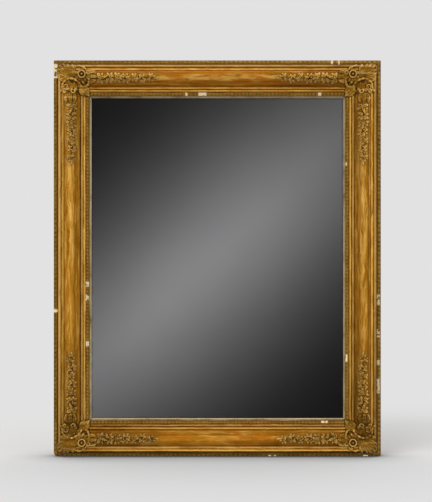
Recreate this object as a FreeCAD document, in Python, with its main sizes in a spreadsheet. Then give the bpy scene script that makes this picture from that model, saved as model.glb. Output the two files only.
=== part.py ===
import FreeCAD, Part
import os
import Sketcher
from FreeCAD import Placement, Rotation, Vector

# Giltwood mirror: a mitred softwood frame with gilt composition ornament, a silvered plate and two hanger
# rings. Millimetres. X runs right, Z up, the front faces -Y, and the origin is on the floor below the middle.

# Driving dimensions
SIZES = [
    ("frame_width", 924, "overall width"),
    ("frame_height", 1118, "overall height"),
    ("back_from_origin", 40, "from the origin to the plane of the back"),
    # members of the moulding, measured inwards from the outer edge
    ("outer_border_width", 10.5, "running border on the outer edge"),
    ("hollow_width", 4.5, "hollow between the outer border and the bead"),
    ("bead_width", 8, "bead along the top of the moulding"),
    ("quirk_width", 1.4, "narrow quirk beside a bead"),
    ("fillet_width", 5.6, "flat fillet inside the bead"),
    ("frieze_width", 43, "broad swelling frieze"),
    ("inner_quirk_width", 2, "quirk at the foot of the frieze"),
    ("torus_width", 7.5, "small torus inside the frieze"),
    ("inner_bead_width", 6.5, "bead inside the torus"),
    ("sight_border_width", 9, "running border next to the sight"),
    ("slip_face_width", 5.6, "part of the slip that shows"),
    # heights of the members above the back
    ("side_depth", 44, "flat outer side"),
    ("bead_level", 70, "foot of the bead"),
    ("quirk_level", 68.5, "bottom of the quirk beside the bead"),
    ("fillet_level", 71, "fillet"),
    ("frieze_outer_level", 67, "outer edge of the frieze"),
    ("frieze_turn_level", 60, "where the frieze turns from swelling to hollow"),
    ("frieze_inner_level", 49, "foot of the frieze"),
    ("inner_quirk_level", 45, "bottom of the quirk at the frieze"),
    ("torus_level", 46, "foot of the torus"),
    ("inner_bead_level", 43.5, "foot of the inner bead"),
    ("seat_high_level", 40, "outer edge of the sight border's seat"),
    ("seat_low_level", 34, "sight edge of the wood"),
    ("lip_level", 28, "underside of the wood at the sight"),
    ("slip_edge_level", 23, "front of the slip's sight edge"),
    ("glass_front_level", 19, "front of the glass"),
    ("ledge_level", 11, "ledge that carries the backboards"),
    ("ledge_width", 13, "width of that ledge"),
    ("rebate_cover", 8.4, "wood lip over the slip"),
    # fits and allowances
    ("border_margin", 0.4, "outer border held in from the frame's edge"),
    ("slip_play", 0.4, "slip to the wall of its rebate"),
    ("block_play", 0.2, "glazing block to the glass and to the wall"),
    ("board_play", 0.5, "backboards to the rails and to each other"),
    ("pivot_play", 0.08, "ring wire in its folded strap, on the radius"),
    ("screw_play", 0.3, "screw in its strap hole, on the radius"),
    ("cut_overrun", 120, "depth of a cut that goes right through"),
    # feather keys in the mitres
    ("key_leg", 46, "leg of a feather key along the outer edge"),
    ("key_thickness", 3, "thickness of a feather key"),
    ("key_level", 20, "back face of a feather key"),
    # applied ornament
    ("outer_border_rise", 6, "height of the outer border"),
    ("spray_rise", 5.5, "height of a spray above the frieze"),
    ("spray_length", 172, "length of a spray"),
    ("spray_gap", 0.6, "spray to the corner ornament"),
    ("corner_edge_rise", 6, "corner ornament above the bead's foot"),
    ("corner_rise", 9, "corner ornament above the frieze"),
    ("corner_sight_rise", 7, "corner ornament above the sight edge of the wood"),
    ("rosette_far", 77, "ring rosette along its rail, from the outer corner"),
    ("rosette_near", 42, "ring rosette in from its rail's outer edge"),
    ("rosette_level", 80, "middle of the rosette's ring"),
    ("rosette_radius", 9.5, "ring of a rosette"),
    ("rosette_tube", 2.6, "half thickness of that ring"),
    ("rosette_boss", 4.5, "radius of the boss in the ring"),
    # glass and backing
    ("glass_lap", 8, "glass behind the slip"),
    ("glass_thickness", 4, "thickness of the glass"),
    ("block_length", 40, "length of a glazing block"),
    ("board_thickness", 8, "thickness of a backboard"),
    ("nail_radius", 0.9, "shank of a backboard nail"),
    ("nail_length", 22, "length of a backboard nail"),
    ("nail_head_radius", 2.2, "head of a backboard nail"),
    ("nail_head_thickness", 1, "thickness of that head"),
    ("nail_inset", 40, "outermost nail from the end of the backing"),
    # hangers on the backs of the side rails
    ("hanger_inset", 39, "hanger from the outer edge"),
    ("hanger_drop", 230, "ring pivot below the top"),
    ("ring_wire", 1.75, "half thickness of the ring wire"),
    ("ring_half_width", 16, "middle of the loop to its side"),
    ("ring_corner", 4, "bend of the ring at its bar"),
    ("ring_side", 16, "straight side of the loop"),
    ("strap_thickness", 1.2, "thickness of the strap"),
    ("strap_width", 17, "width of the strap"),
    ("strap_length", 31, "pivot to the foot of the strap"),
    ("screw_radius", 1.8, "shank of a hanger screw"),
    ("screw_length", 24, "hanger screw under its head"),
    ("screw_head_radius", 3.6, "head of a hanger screw"),
    ("screw_head_height", 2, "height of that head"),
    ("upper_screw_drop", 10, "upper screw below the pivot"),
    ("lower_screw_drop", 23, "lower screw below the pivot"),
]

# Shapes as shares
FRIEZE_TURN_SHARE = 0.72
FRIEZE_SWELL_SHARE = 0.157
FRIEZE_HOLLOW_SHARE = 0.047
HOLLOW_SHARE = 0.12
HALF_ROUND_SHARE = 0.5
QUARTER_ROUND_SHARE = (2**0.5 - 1) / 2
SIGHT_BORDER_SHARE = 0.3
RELIEF_SWELL_SHARE = 0.17
HALF_SHARE = 0.5
THIRD_SHARE = 1 / 3
# one half of the corner ornament, as shares of the wooden face's width: along one rail, in from its outer
# edge, and how far the arc to the next point swells, as a share of its chord
CORNER_HALF_SHARES = [
    (0.185, 0.185, 0.12),
    (0.36, 0.18, 0.12),
    (0.55, 0.185, 0.12),
    (0.62, 0.26, 0.10),
    (0.94, 0.27, 0.14),
    (1.10, 0.36, 0.14),
    (1.25, 0.47, 0.20),
    (1.13, 0.63, 0.16),
    (0.93, 0.71, 0.0),
    (0.985, 0.80, 0.0),
    (0.985, 0.92, 0.0),
]
CORNER_REACH_SHARE = 1.25
# a spray, as shares: the station along its length, and half its width there beside the frieze's width
SPRAY_SHARES = [
    (0.0, 0.27),
    (0.15, 0.33),
    (0.30, 0.31),
    (0.45, 0.29),
    (0.60, 0.26),
    (0.75, 0.22),
    (0.89, 0.15),
]
SPRAY_LOBE_SHARE = 0.17
BLOCK_SHARES = [-0.36, 0.0, 0.36]
NAIL_COUNT_ACROSS = 6
NAIL_COUNT_UP = 5
BOARD_NAMES = ["left", "middle", "right"]
HALF_TURN = 180
QUARTER_TURN = 90
# how a sketch numbers the points of an edge, its own origin, and the axis each distance is taken from
START_INDEX, END_INDEX, CENTRE_INDEX = 1, 2, 3
ORIGIN_INDEX = (-1, 1)
AXIS_INDEX = {"DistanceX": -2, "DistanceY": -1}


class Length:
    """A length known both as a number and as the formula in sheet names that gives it."""

    def __init__(self, value, formula):
        self.value = value
        self.formula = formula

    def __add__(self, other):
        return Length(self.value + other.value, f"({self.formula} + {other.formula})")

    def __sub__(self, other):
        return Length(self.value - other.value, f"({self.formula} - {other.formula})")

    def __mul__(self, share):
        return Length(self.value * share, f"({self.formula} * ({share}))")

    def __neg__(self):
        return self * -1


NIL = Length(0, "0")

doc = FreeCAD.newDocument("giltwood_mirror")
sheet = doc.addObject("Spreadsheet::Sheet", "dims")
for row, (alias, value, meaning) in enumerate(SIZES, start=1):
    sheet.set(f"A{row}", meaning)
    sheet.set(f"B{row}", str(value))
    sheet.setAlias(f"B{row}", alias)
doc.recompute()
size = {alias: Length(float(sheet.get(alias)), f"dims.{alias}") for alias, value, meaning in SIZES}

# Lines of the moulding, inwards from the outer edge
bead_start = size["outer_border_width"] + size["hollow_width"]
bead_end = bead_start + size["bead_width"]
fillet_start = bead_end + size["quirk_width"]
frieze_start = fillet_start + size["fillet_width"]
frieze_turn = frieze_start + size["frieze_width"] * FRIEZE_TURN_SHARE
frieze_end = frieze_start + size["frieze_width"]
torus_start = frieze_end + size["inner_quirk_width"]
torus_end = torus_start + size["torus_width"]
inner_bead_end = torus_end + size["inner_bead_width"]
seat_start = inner_bead_end + size["quirk_width"]
wood_edge = seat_start + size["sight_border_width"]
sight_edge = wood_edge + size["slip_face_width"]
rebate_wall = wood_edge - size["rebate_cover"]
ledge_wall = rebate_wall - size["ledge_width"]
glass_edge = sight_edge - size["glass_lap"]
glass_back_level = size["glass_front_level"] - size["glass_thickness"]
corner_reach = wood_edge * CORNER_REACH_SHARE
half_width = size["frame_width"] * HALF_SHARE
half_height = size["frame_height"] * HALF_SHARE


# Building helpers
def new_body(label):
    body = doc.addObject("PartDesign::Body", label)
    body.Label = label
    return body


def place(thing, x, y, z, rotation=None):
    """Put an object at a point given by lengths."""
    thing.Placement = Placement(Vector(x.value, y.value, z.value), rotation or Rotation())
    for axis, length in zip("xyz", (x, y, z)):
        thing.setExpression(f"Placement.Base.{axis}", length.formula)


def sketch_on(body, name, role, level=NIL):
    """A sketch on one of the body's own planes, moved to a level in front of it."""
    sketch = body.newObject("Sketcher::SketchObject", name)
    plane = next(feature for feature in body.Origin.OriginFeatures if feature.Role == role)
    sketch.AttachmentSupport = [(plane, "")]
    sketch.MapMode = "FlatFace"
    if level is not NIL:
        sketch.setExpression("AttachmentOffset.Base.z", (-level).formula)
    return sketch


def centre_of_arc(start, end, bulge):
    """Centre of the arc between two corners. A positive bulge lies to the left of the way."""
    reach = (1 / (8 * abs(bulge)) - abs(bulge) / 2) * (1 if bulge > 0 else -1)
    across = (start[0] + end[0]) * HALF_SHARE + (end[1] - start[1]) * reach
    up = (start[1] + end[1]) * HALF_SHARE - (end[0] - start[0]) * reach
    return across, up


def arc_between(start, end, bulge, centre):
    """The arc as the sketch holds it, counter-clockwise, and which of its ends lies at the start."""
    first, last = (end, start) if bulge > 0 else (start, end)
    middle = Vector(centre[0].value, centre[1].value, 0)
    arms = [Vector(point[0].value, point[1].value, 0) - middle for point in (first, last)]
    circle = Part.Circle(middle, Vector(0, 0, 1), arms[0].Length)
    angles = [circle.parameter(middle + arm) for arm in arms]
    return Part.ArcOfCircle(circle, angles[0], angles[1]), (END_INDEX if bulge > 0 else START_INDEX)


def closed_outline(sketch, corners):
    """Draw a closed outline of lines and arcs and tie every corner and arc to its formula.

    A corner is (across, up, bulge): two lengths that place it, and how far the arc to the next corner
    swells, as a share of its chord. Nought gives a straight line.
    """
    first_edge = sketch.GeometryCount
    ties = []
    formulas = []
    starts = []

    def tie(kind, edge, end, length):
        formulas.append((len(ties), length.formula))
        ties.append(Sketcher.Constraint(kind, *ORIGIN_INDEX, edge, end, length.value))

    for number, (across, up, bulge) in enumerate(corners):
        following = corners[(number + 1) % len(corners)]
        edge = first_edge + number
        if bulge:
            centre = centre_of_arc((across, up), following, bulge)
            curve, start = arc_between((across, up), following, bulge, centre)
            wide = abs(following[0].value - across.value) >= abs(following[1].value - up.value)
            tie("DistanceY" if wide else "DistanceX", edge, CENTRE_INDEX, centre[1] if wide else centre[0])
        else:
            ends = [Vector(point[0].value, point[1].value, 0) for point in ((across, up), following)]
            curve, start = Part.LineSegment(*ends), START_INDEX
        sketch.addGeometry(curve, False)
        starts.append(start)
        for kind, length in (("DistanceX", across), ("DistanceY", up)):
            if length is NIL:
                ties.append(Sketcher.Constraint("PointOnObject", edge, start, AXIS_INDEX[kind]))
            else:
                tie(kind, edge, start, length)
    for number, start in enumerate(starts):
        following = (number + 1) % len(starts)
        finish = END_INDEX if start == START_INDEX else START_INDEX
        ends = (first_edge + number, finish, first_edge + following, starts[following])
        ties.append(Sketcher.Constraint("Coincident", *ends))
    indices = sketch.addConstraint(ties)
    for number, formula in formulas:
        name = f"size_{first_edge}_{number}"
        sketch.renameConstraint(indices[number], name)
        sketch.setExpression(f"Constraints.{name}", formula)


def circles(sketch, radius, centres):
    """Draw circles of one radius, each tied to the formulas of its centre."""
    for number, (across, up) in enumerate(centres):
        circle = Part.Circle(Vector(across.value, up.value, 0), Vector(0, 0, 1), radius.value)
        edge = sketch.addGeometry(circle, False)
        ties = [("Radius", Sketcher.Constraint("Radius", edge, radius.value), radius)]
        for kind, length in (("DistanceX", across), ("DistanceY", up)):
            if length is NIL:
                on_axis = ("PointOnObject", edge, CENTRE_INDEX, AXIS_INDEX[kind])
                sketch.addConstraint(Sketcher.Constraint(*on_axis))
            else:
                apart = (kind, *ORIGIN_INDEX, edge, CENTRE_INDEX, length.value)
                ties.append((kind, Sketcher.Constraint(*apart), length))
        for kind, constraint, length in ties:
            name = f"{kind}_of_{edge}_{number}"
            sketch.renameConstraint(sketch.addConstraint(constraint), name)
            sketch.setExpression(f"Constraints.{name}", length.formula)


def pad(body, sketch, length, side="One side", towards_front=False):
    feature = body.newObject("PartDesign::Pad", "pad")
    feature.Profile = sketch
    feature.SideType = side
    feature.Reversed = towards_front
    feature.setExpression("Length", length.formula)
    return feature


def pocket(body, sketch, length, side="One side"):
    feature = body.newObject("PartDesign::Pocket", "pocket")
    feature.Profile = sketch
    feature.SideType = side
    feature.setExpression("Length", length.formula)
    return feature


def boolean(kind, label, base, tool):
    result = doc.addObject(kind, label)
    result.Label = label
    result.Base = base
    result.Tool = tool
    return result


def joined(label, pieces):
    result = doc.addObject("Part::MultiFuse", label)
    result.Shapes = pieces
    return result


def box(label, low, high):
    """A rectangular board between two corners given by lengths."""
    board = doc.addObject("Part::Box", label)
    board.Label = label
    for name, start, end in zip(("Length", "Width", "Height"), low, high):
        board.setExpression(name, (end - start).formula)
    place(board, *low)
    return board


def mirrored(label, source, base, normal):
    twin = doc.addObject("Part::Mirroring", label)
    twin.Label = label
    twin.Source = source
    twin.Normal = normal
    for axis, length in zip("xyz", base):
        twin.setExpression(f"Base.{axis}", length.formula)
    return twin


def depth(level):
    """The place along Y of a height above the back."""
    return size["back_from_origin"] - level


# Mitred lengths: each runs along its own X, with its outer edge at nought and its front towards its own +Y
SIDES = {
    "bottom": (size["frame_width"], Vector(0, 0, 1), NIL, NIL),
    "top": (size["frame_width"], Vector(1, 0, 0), NIL, size["frame_height"]),
    "left": (size["frame_height"], Vector(1, 0, 1), -half_width, half_height),
    "right": (size["frame_height"], Vector(1, 0, -1), half_width, half_height),
}


def corner_triangles(sketch, run, leg):
    """A right triangle at each end of a length, with its legs along the outer edge and the end."""
    half_run = run * HALF_SHARE
    closed_outline(sketch, [(half_run, NIL, 0), (half_run, leg, 0), (half_run - leg, NIL, 0)])
    closed_outline(sketch, [(-half_run, NIL, 0), (leg - half_run, NIL, 0), (-half_run, leg, 0)])


def mitre_triangles(sketch, run):
    """What a mitre takes off each end of a length."""
    half_run = run * HALF_SHARE
    inner = half_run - sight_edge
    closed_outline(sketch, [(half_run, NIL, 0), (half_run, sight_edge, 0), (inner, sight_edge, 0)])
    closed_outline(sketch, [(-half_run, NIL, 0), (-inner, sight_edge, 0), (-half_run, sight_edge, 0)])


def mitred_length(label, side, outline, key_slots=False):
    """One of the four lengths of a member, with the outline given as heights and distances inwards."""
    run, turn_axis, x, z = SIDES[side]
    body = new_body(label)
    section = sketch_on(body, f"{label}_section", "YZ_Plane")
    closed_outline(section, outline)
    pad(body, section, run, "Symmetric")
    ends = sketch_on(body, f"{label}_mitres", "XZ_Plane")
    mitre_triangles(ends, run)
    pocket(body, ends, size["cut_overrun"])
    if key_slots:
        slots = sketch_on(body, f"{label}_slots", "XZ_Plane", size["key_level"])
        corner_triangles(slots, run, size["key_leg"])
        pocket(body, slots, size["key_thickness"])
    place(body, x, size["back_from_origin"], z, Rotation(turn_axis, HALF_TURN))
    return body


# Outlines of the moulded members
rail_outline = [
    (NIL, NIL, 0),
    (size["side_depth"], NIL, 0),
    (size["side_depth"], size["outer_border_width"], HOLLOW_SHARE),
    (size["bead_level"], bead_start, -HALF_ROUND_SHARE),
    (size["bead_level"], bead_end, 0),
    (size["quirk_level"], bead_end, 0),
    (size["quirk_level"], fillet_start, 0),
    (size["fillet_level"], fillet_start, 0),
    (size["fillet_level"], frieze_start, 0),
    (size["frieze_outer_level"], frieze_start, -FRIEZE_SWELL_SHARE),
    (size["frieze_turn_level"], frieze_turn, FRIEZE_HOLLOW_SHARE),
    (size["frieze_inner_level"], frieze_end, 0),
    (size["inner_quirk_level"], frieze_end, 0),
    (size["inner_quirk_level"], torus_start, 0),
    (size["torus_level"], torus_start, -HALF_ROUND_SHARE),
    (size["torus_level"], torus_end, 0),
    (size["inner_bead_level"], torus_end, -HALF_ROUND_SHARE),
    (size["inner_bead_level"], inner_bead_end, 0),
    (size["seat_high_level"], inner_bead_end, 0),
    (size["seat_high_level"], seat_start, 0),
    (size["seat_low_level"], wood_edge, 0),
    (size["lip_level"], wood_edge, 0),
    (size["lip_level"], rebate_wall, 0),
    (size["ledge_level"], rebate_wall, 0),
    (size["ledge_level"], ledge_wall, 0),
    (NIL, ledge_wall, 0),
]
border_top = size["side_depth"] + size["outer_border_rise"]
border_middle = size["outer_border_width"] * HALF_SHARE
outer_border_outline = [
    (size["side_depth"], size["border_margin"], -SIGHT_BORDER_SHARE),
    (border_top, border_middle, -SIGHT_BORDER_SHARE * HALF_SHARE),
    (size["side_depth"], size["outer_border_width"], 0),
]
sight_border_outline = [
    (size["seat_high_level"], seat_start, -SIGHT_BORDER_SHARE),
    (size["seat_low_level"], wood_edge, 0),
]
slip_outline = [
    (size["lip_level"], rebate_wall + size["slip_play"], 0),
    (size["lip_level"], wood_edge, 0),
    (size["slip_edge_level"], sight_edge, 0),
    (size["glass_front_level"], sight_edge, 0),
    (size["glass_front_level"], rebate_wall + size["slip_play"], 0),
]

pieces = []
lengths = {}
for side in SIDES:
    for member, outline in (
        ("rail", rail_outline),
        ("outer_border", outer_border_outline),
        ("sight_border", sight_border_outline),
        ("sight_slip", slip_outline),
    ):
        label = f"{member}_{side}"
        lengths[label] = mitred_length(label, side, outline, key_slots=member == "rail")
        pieces.append(lengths[label])

# Feather keys across the mitres
CORNERS = {
    "top_left": (-half_width, size["frame_height"], Vector(1, 0, 0)),
    "top_right": (half_width, size["frame_height"], Vector(1, 0, -1)),
    "bottom_left": (-half_width, NIL, Vector(1, 0, 1)),
    "bottom_right": (half_width, NIL, Vector(0, 0, 1)),
}
for corner, (x, z, turn_axis) in CORNERS.items():
    key = new_body(f"mitre_key_{corner}")
    outline = sketch_on(key, f"key_{corner}", "XZ_Plane", size["key_level"])
    closed_outline(outline, [(NIL, NIL, 0), (size["key_leg"], NIL, 0), (NIL, size["key_leg"], 0)])
    pad(key, outline, size["key_thickness"], towards_front=True)
    place(key, x, size["back_from_origin"], z, Rotation(turn_axis, HALF_TURN))
    pieces.append(key)


# Corner ornament: drawn for the top left corner, with distances along and across from the outer corner
def corner_body(label):
    body = new_body(label)
    facing = Rotation(Vector(1, 0, 0), HALF_TURN)
    place(body, -half_width, size["back_from_origin"], size["frame_height"], facing)
    return body


relief_base = (size["seat_low_level"] + size["lip_level"]) * HALF_SHARE
relief_outline = [
    (relief_base, bead_start, 0),
    (size["bead_level"] + size["corner_edge_rise"], bead_start, RELIEF_SWELL_SHARE),
    (size["frieze_turn_level"] + size["corner_rise"], frieze_turn, 0),
    (size["seat_low_level"] + size["corner_sight_rise"], wood_edge, 0),
    (relief_base, wood_edge, 0),
]
corner_relief = corner_body("corner_relief")
along_top = sketch_on(corner_relief, "relief_along_top", "YZ_Plane")
closed_outline(along_top, [(level, across, -swell) for level, across, swell in relief_outline])
pad(corner_relief, along_top, corner_reach)
along_side = sketch_on(corner_relief, "relief_along_side", "XY_Plane")
closed_outline(along_side, [(across, level, swell) for level, across, swell in relief_outline])
pad(corner_relief, along_side, corner_reach)

corner_half = [(wood_edge * along, wood_edge * across, swell) for along, across, swell in CORNER_HALF_SHARES]
other_swells = [swell for along, across, swell in corner_half[-2::-1]]
other_half = [
    (across, along, -swell) for (along, across, unused), swell in zip(corner_half[::-1], other_swells + [0])
]
corner_blank = corner_body("corner_blank")
blank_outline = sketch_on(corner_blank, "corner_outline", "XZ_Plane", relief_base)
closed_outline(
    blank_outline,
    [(along, across, -swell) for along, across, swell in corner_half] + other_half[:-1],
)
pad(corner_blank, blank_outline, size["cut_overrun"], towards_front=True)
corner_mass = boolean("Part::Common", "corner_mass", corner_blank, corner_relief)


def rosette(number, along, across):
    """A ring with a boss in it."""
    x = along - half_width
    z = size["frame_height"] - across
    y = depth(size["rosette_level"])
    ring = doc.addObject("Part::Torus", f"rosette_ring_{number}")
    ring.setExpression("Radius1", size["rosette_radius"].formula)
    ring.setExpression("Radius2", size["rosette_tube"].formula)
    place(ring, x, y, z, Rotation(Vector(1, 0, 0), QUARTER_TURN))
    boss = doc.addObject("Part::Sphere", f"rosette_boss_{number}")
    boss.setExpression("Radius", size["rosette_boss"].formula)
    place(boss, x, y, z)
    return [ring, boss]


far, near = size["rosette_far"], size["rosette_near"]
corner_whole = joined("corner_whole", [corner_mass] + rosette(1, far, near) + rosette(2, near, far))
corner_seat = joined(
    "corner_seat",
    [lengths[name] for name in ("rail_top", "rail_left", "sight_border_top", "sight_border_left")],
)
corner_first = boolean("Part::Cut", "corner_ornament_top_left", corner_whole, corner_seat)

# Spray: drawn on the top rail beside the top left corner
spray_relief = corner_body("spray_relief")
spray_section = sketch_on(spray_relief, "spray_section", "YZ_Plane")
closed_outline(
    spray_section,
    [
        (relief_base, frieze_start, 0),
        (size["frieze_outer_level"] + size["spray_rise"], frieze_start, -FRIEZE_SWELL_SHARE),
        (size["frieze_turn_level"] + size["spray_rise"], frieze_turn, FRIEZE_HOLLOW_SHARE),
        (size["frieze_inner_level"] + size["spray_rise"], frieze_end, 0),
        (relief_base, frieze_end, 0),
    ],
)
spray_start = corner_reach + size["spray_gap"]
spray_end = spray_start + size["spray_length"]
pad(spray_relief, spray_section, spray_end)

spray_middle = frieze_start + size["frieze_width"] * HALF_SHARE
outer_edge, inner_edge = [], []
for station, half in SPRAY_SHARES:
    along = spray_start + size["spray_length"] * station
    outer_edge.append((along, spray_middle - size["frieze_width"] * half, -SPRAY_LOBE_SHARE))
    inner_edge.append((along, spray_middle + size["frieze_width"] * half, -SPRAY_LOBE_SHARE))
butt_end = inner_edge[0][:2] + (0,)
spray_blank = corner_body("spray_blank")
spray_outline = sketch_on(spray_blank, "spray_outline", "XZ_Plane", relief_base)
closed_outline(
    spray_outline,
    outer_edge + [(spray_end, spray_middle, -SPRAY_LOBE_SHARE)] + inner_edge[:0:-1] + [butt_end],
)
pad(spray_blank, spray_outline, size["cut_overrun"], towards_front=True)
spray_mass = boolean("Part::Common", "spray_mass", spray_blank, spray_relief)
spray_first = boolean("Part::Cut", "spray_top_left", spray_mass, lengths["rail_top"])

# The other corners and sprays are the same castings, turned over
corner_point = (-half_width, NIL, size["frame_height"])
middle_point = (NIL, NIL, half_height)
across_corner, across_middle, across_height = Vector(1, 0, 1), Vector(1, 0, 0), Vector(0, 0, 1)
spray_side = mirrored("spray_left_upper", spray_first, corner_point, across_corner)
corner_right = mirrored("corner_ornament_top_right", corner_first, middle_point, across_middle)
spray_right = mirrored("spray_top_right", spray_first, middle_point, across_middle)
side_right = mirrored("spray_right_upper", spray_side, middle_point, across_middle)
upper = [corner_first, corner_right, spray_first, spray_right, spray_side, side_right]
lower_names = [
    "corner_ornament_bottom_left",
    "corner_ornament_bottom_right",
    "spray_bottom_left",
    "spray_bottom_right",
    "spray_left_lower",
    "spray_right_lower",
]
lower = [mirrored(name, source, middle_point, across_height) for name, source in zip(lower_names, upper)]
pieces += upper + lower

# Glass
glass_low = (glass_edge - half_width, depth(size["glass_front_level"]), glass_edge)
glass_high = (half_width - glass_edge, depth(glass_back_level), size["frame_height"] - glass_edge)
pieces.append(box("mirror_glass", glass_low, glass_high))

# Backboards
boards_start = ledge_wall + size["board_play"] - half_width
board_step = (half_width * 2 - ledge_wall * 2 - size["board_play"]) * THIRD_SHARE
for number, name in enumerate(BOARD_NAMES):
    start = boards_start + board_step * number
    low = (start, depth(size["ledge_level"]), ledge_wall + size["board_play"])
    high = (
        start + board_step - size["board_play"],
        depth(size["ledge_level"] - size["board_thickness"]),
        size["frame_height"] - ledge_wall - size["board_play"],
    )
    pieces.append(box(f"backboard_{name}", low, high))


# Groups of like small pieces
def group(label, solids):
    feature = doc.addObject("Part::Feature", label)
    feature.Label = label
    feature.Shape = Part.makeCompound(solids)
    pieces.append(feature)


def value_box(low, high):
    corner = Vector(*(min(a, b) for a, b in zip(low, high)))
    sides = [abs(b - a) for a, b in zip(low, high)]
    return Part.makeBox(*sides, corner)


def pin(shank, length, head, rise, tip, way):
    """A round pin with a flat head, from under its head along the way it is driven."""
    shaft = Part.makeCylinder(shank.value, length.value, tip, way)
    cap = Part.makeCylinder(head.value, rise.value, tip, way * -1)
    return shaft.fuse(cap).removeSplitter()


def glazing_block(side, share):
    """A rabbeted block that fills the rebate beside the glass and laps behind it."""
    run, turn_axis, x, z = SIDES[side]
    middle = (run * share).value
    half = (size["block_length"] * HALF_SHARE).value
    wall = (rebate_wall + size["block_play"]).value
    base = (size["ledge_level"] + size["block_play"]).value
    beside = value_box(
        (middle - half, base, wall),
        (middle + half, size["glass_front_level"].value, (glass_edge - size["block_play"]).value),
    )
    behind = value_box(
        (middle - half, base, wall),
        (middle + half, glass_back_level.value, sight_edge.value),
    )
    block = beside.fuse(behind).removeSplitter()
    block.Placement = Placement(
        Vector(x.value, size["back_from_origin"].value, z.value),
        Rotation(turn_axis, HALF_TURN),
    )
    return block


group("glazing_blocks", [glazing_block(side, share) for side in SIDES for share in BLOCK_SHARES])


def spaced(count, reach):
    """Places evenly spaced from one end of a reach to the other, counted from its middle."""
    return [reach * (2 * number / (count - 1) - 1) for number in range(count)]


nail_line = (ledge_wall + size["ledge_width"] * HALF_SHARE).value
nail_y = depth(size["ledge_level"] - size["board_thickness"]).value
nail_x = half_width.value - nail_line
nail_z = half_height.value - nail_line
nail_points = []
for z in (-nail_z, nail_z):
    nail_points += [(x, z) for x in spaced(NAIL_COUNT_ACROSS, nail_x - size["nail_inset"].value)]
for x in (-nail_x, nail_x):
    nail_points += [(x, z) for z in spaced(NAIL_COUNT_UP, nail_z - size["nail_inset"].value)]
forwards = Vector(0, -1, 0)
nail_names = ("nail_radius", "nail_length", "nail_head_radius", "nail_head_thickness")
nail_parts = [size[name] for name in nail_names]
group(
    "backboard_nails",
    [pin(*nail_parts, Vector(x, nail_y, half_height.value + z), forwards) for x, z in nail_points],
)

# Hangers: a strap folded round the bar of a D-shaped wire ring
eye_radius = size["ring_wire"] + size["pivot_play"]
knuckle_radius = eye_radius + size["strap_thickness"]
pivot_y = size["back_from_origin"] + knuckle_radius
pivot_z = size["frame_height"] - size["hanger_drop"]
screw_drops = [size["upper_screw_drop"], size["lower_screw_drop"]]


def hanger_strap(label, x):
    body = new_body(label)
    section = sketch_on(body, f"{label}_section", "YZ_Plane")
    foot = -size["strap_length"]
    closed_outline(
        section,
        [
            (-knuckle_radius, foot, 0),
            (-eye_radius, foot, 0),
            (-eye_radius, -knuckle_radius, 0),
            (NIL, -knuckle_radius, -HALF_ROUND_SHARE),
            (NIL, knuckle_radius, -QUARTER_ROUND_SHARE),
            (-knuckle_radius, NIL, 0),
        ],
    )
    circles(section, eye_radius, [(NIL, NIL)])
    pad(body, section, size["strap_width"], "Symmetric")
    holes = sketch_on(body, f"{label}_holes", "XZ_Plane")
    circles(holes, size["screw_radius"] + size["screw_play"], [(NIL, -drop) for drop in screw_drops])
    pocket(body, holes, size["cut_overrun"], "Symmetric")
    place(body, x, pivot_y, pivot_z)
    return body


def hanger_ring(label, x):
    """The wire loop, hanging down from its bar."""
    body = new_body(label)
    path = sketch_on(body, f"{label}_path", "XZ_Plane")
    bar = size["ring_half_width"] - size["ring_corner"]
    side_top = -size["ring_corner"]
    side_foot = side_top - size["ring_side"]
    closed_outline(
        path,
        [
            (NIL, NIL, 0),
            (bar, NIL, QUARTER_ROUND_SHARE),
            (size["ring_half_width"], side_top, 0),
            (size["ring_half_width"], side_foot, HALF_ROUND_SHARE),
            (-size["ring_half_width"], side_foot, 0),
            (-size["ring_half_width"], side_top, QUARTER_ROUND_SHARE),
            (-bar, NIL, 0),
        ],
    )
    wire = sketch_on(body, f"{label}_wire", "YZ_Plane")
    circles(wire, size["ring_wire"], [(NIL, NIL)])
    loop = body.newObject("PartDesign::AdditivePipe", "loop")
    loop.Profile = wire
    loop.Spine = path
    place(body, x, pivot_y, pivot_z)
    return body


hanger_x = half_width - size["hanger_inset"]
screws = []
screw_names = ("screw_radius", "screw_length", "screw_head_radius", "screw_head_height")
screw_parts = [size[name] for name in screw_names]
for hand, x in (("left", -hanger_x), ("right", hanger_x)):
    pieces.append(hanger_strap(f"hanger_strap_{hand}", x))
    pieces.append(hanger_ring(f"hanger_ring_{hand}", x))
    strap_back = (size["back_from_origin"] + size["strap_thickness"]).value
    for drop in screw_drops:
        screws.append(pin(*screw_parts, Vector(x.value, strap_back, (pivot_z - drop).value), forwards))
group("hanger_screws", screws)

# Check and write
doc.recompute()
for thing in doc.Objects:
    if "Invalid" in thing.State or "Error" in thing.State:
        raise RuntimeError(f"{thing.Label} failed: {thing.State}")
os.makedirs("parts", exist_ok=True)
for piece in pieces:
    shape = piece.Shape
    if shape.isNull() or not shape.isValid() or not shape.Solids:
        raise RuntimeError(f"{piece.Label} has no sound solid")
    shape.exportStep(f"parts/{piece.Label}.step")
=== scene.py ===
import math

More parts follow.
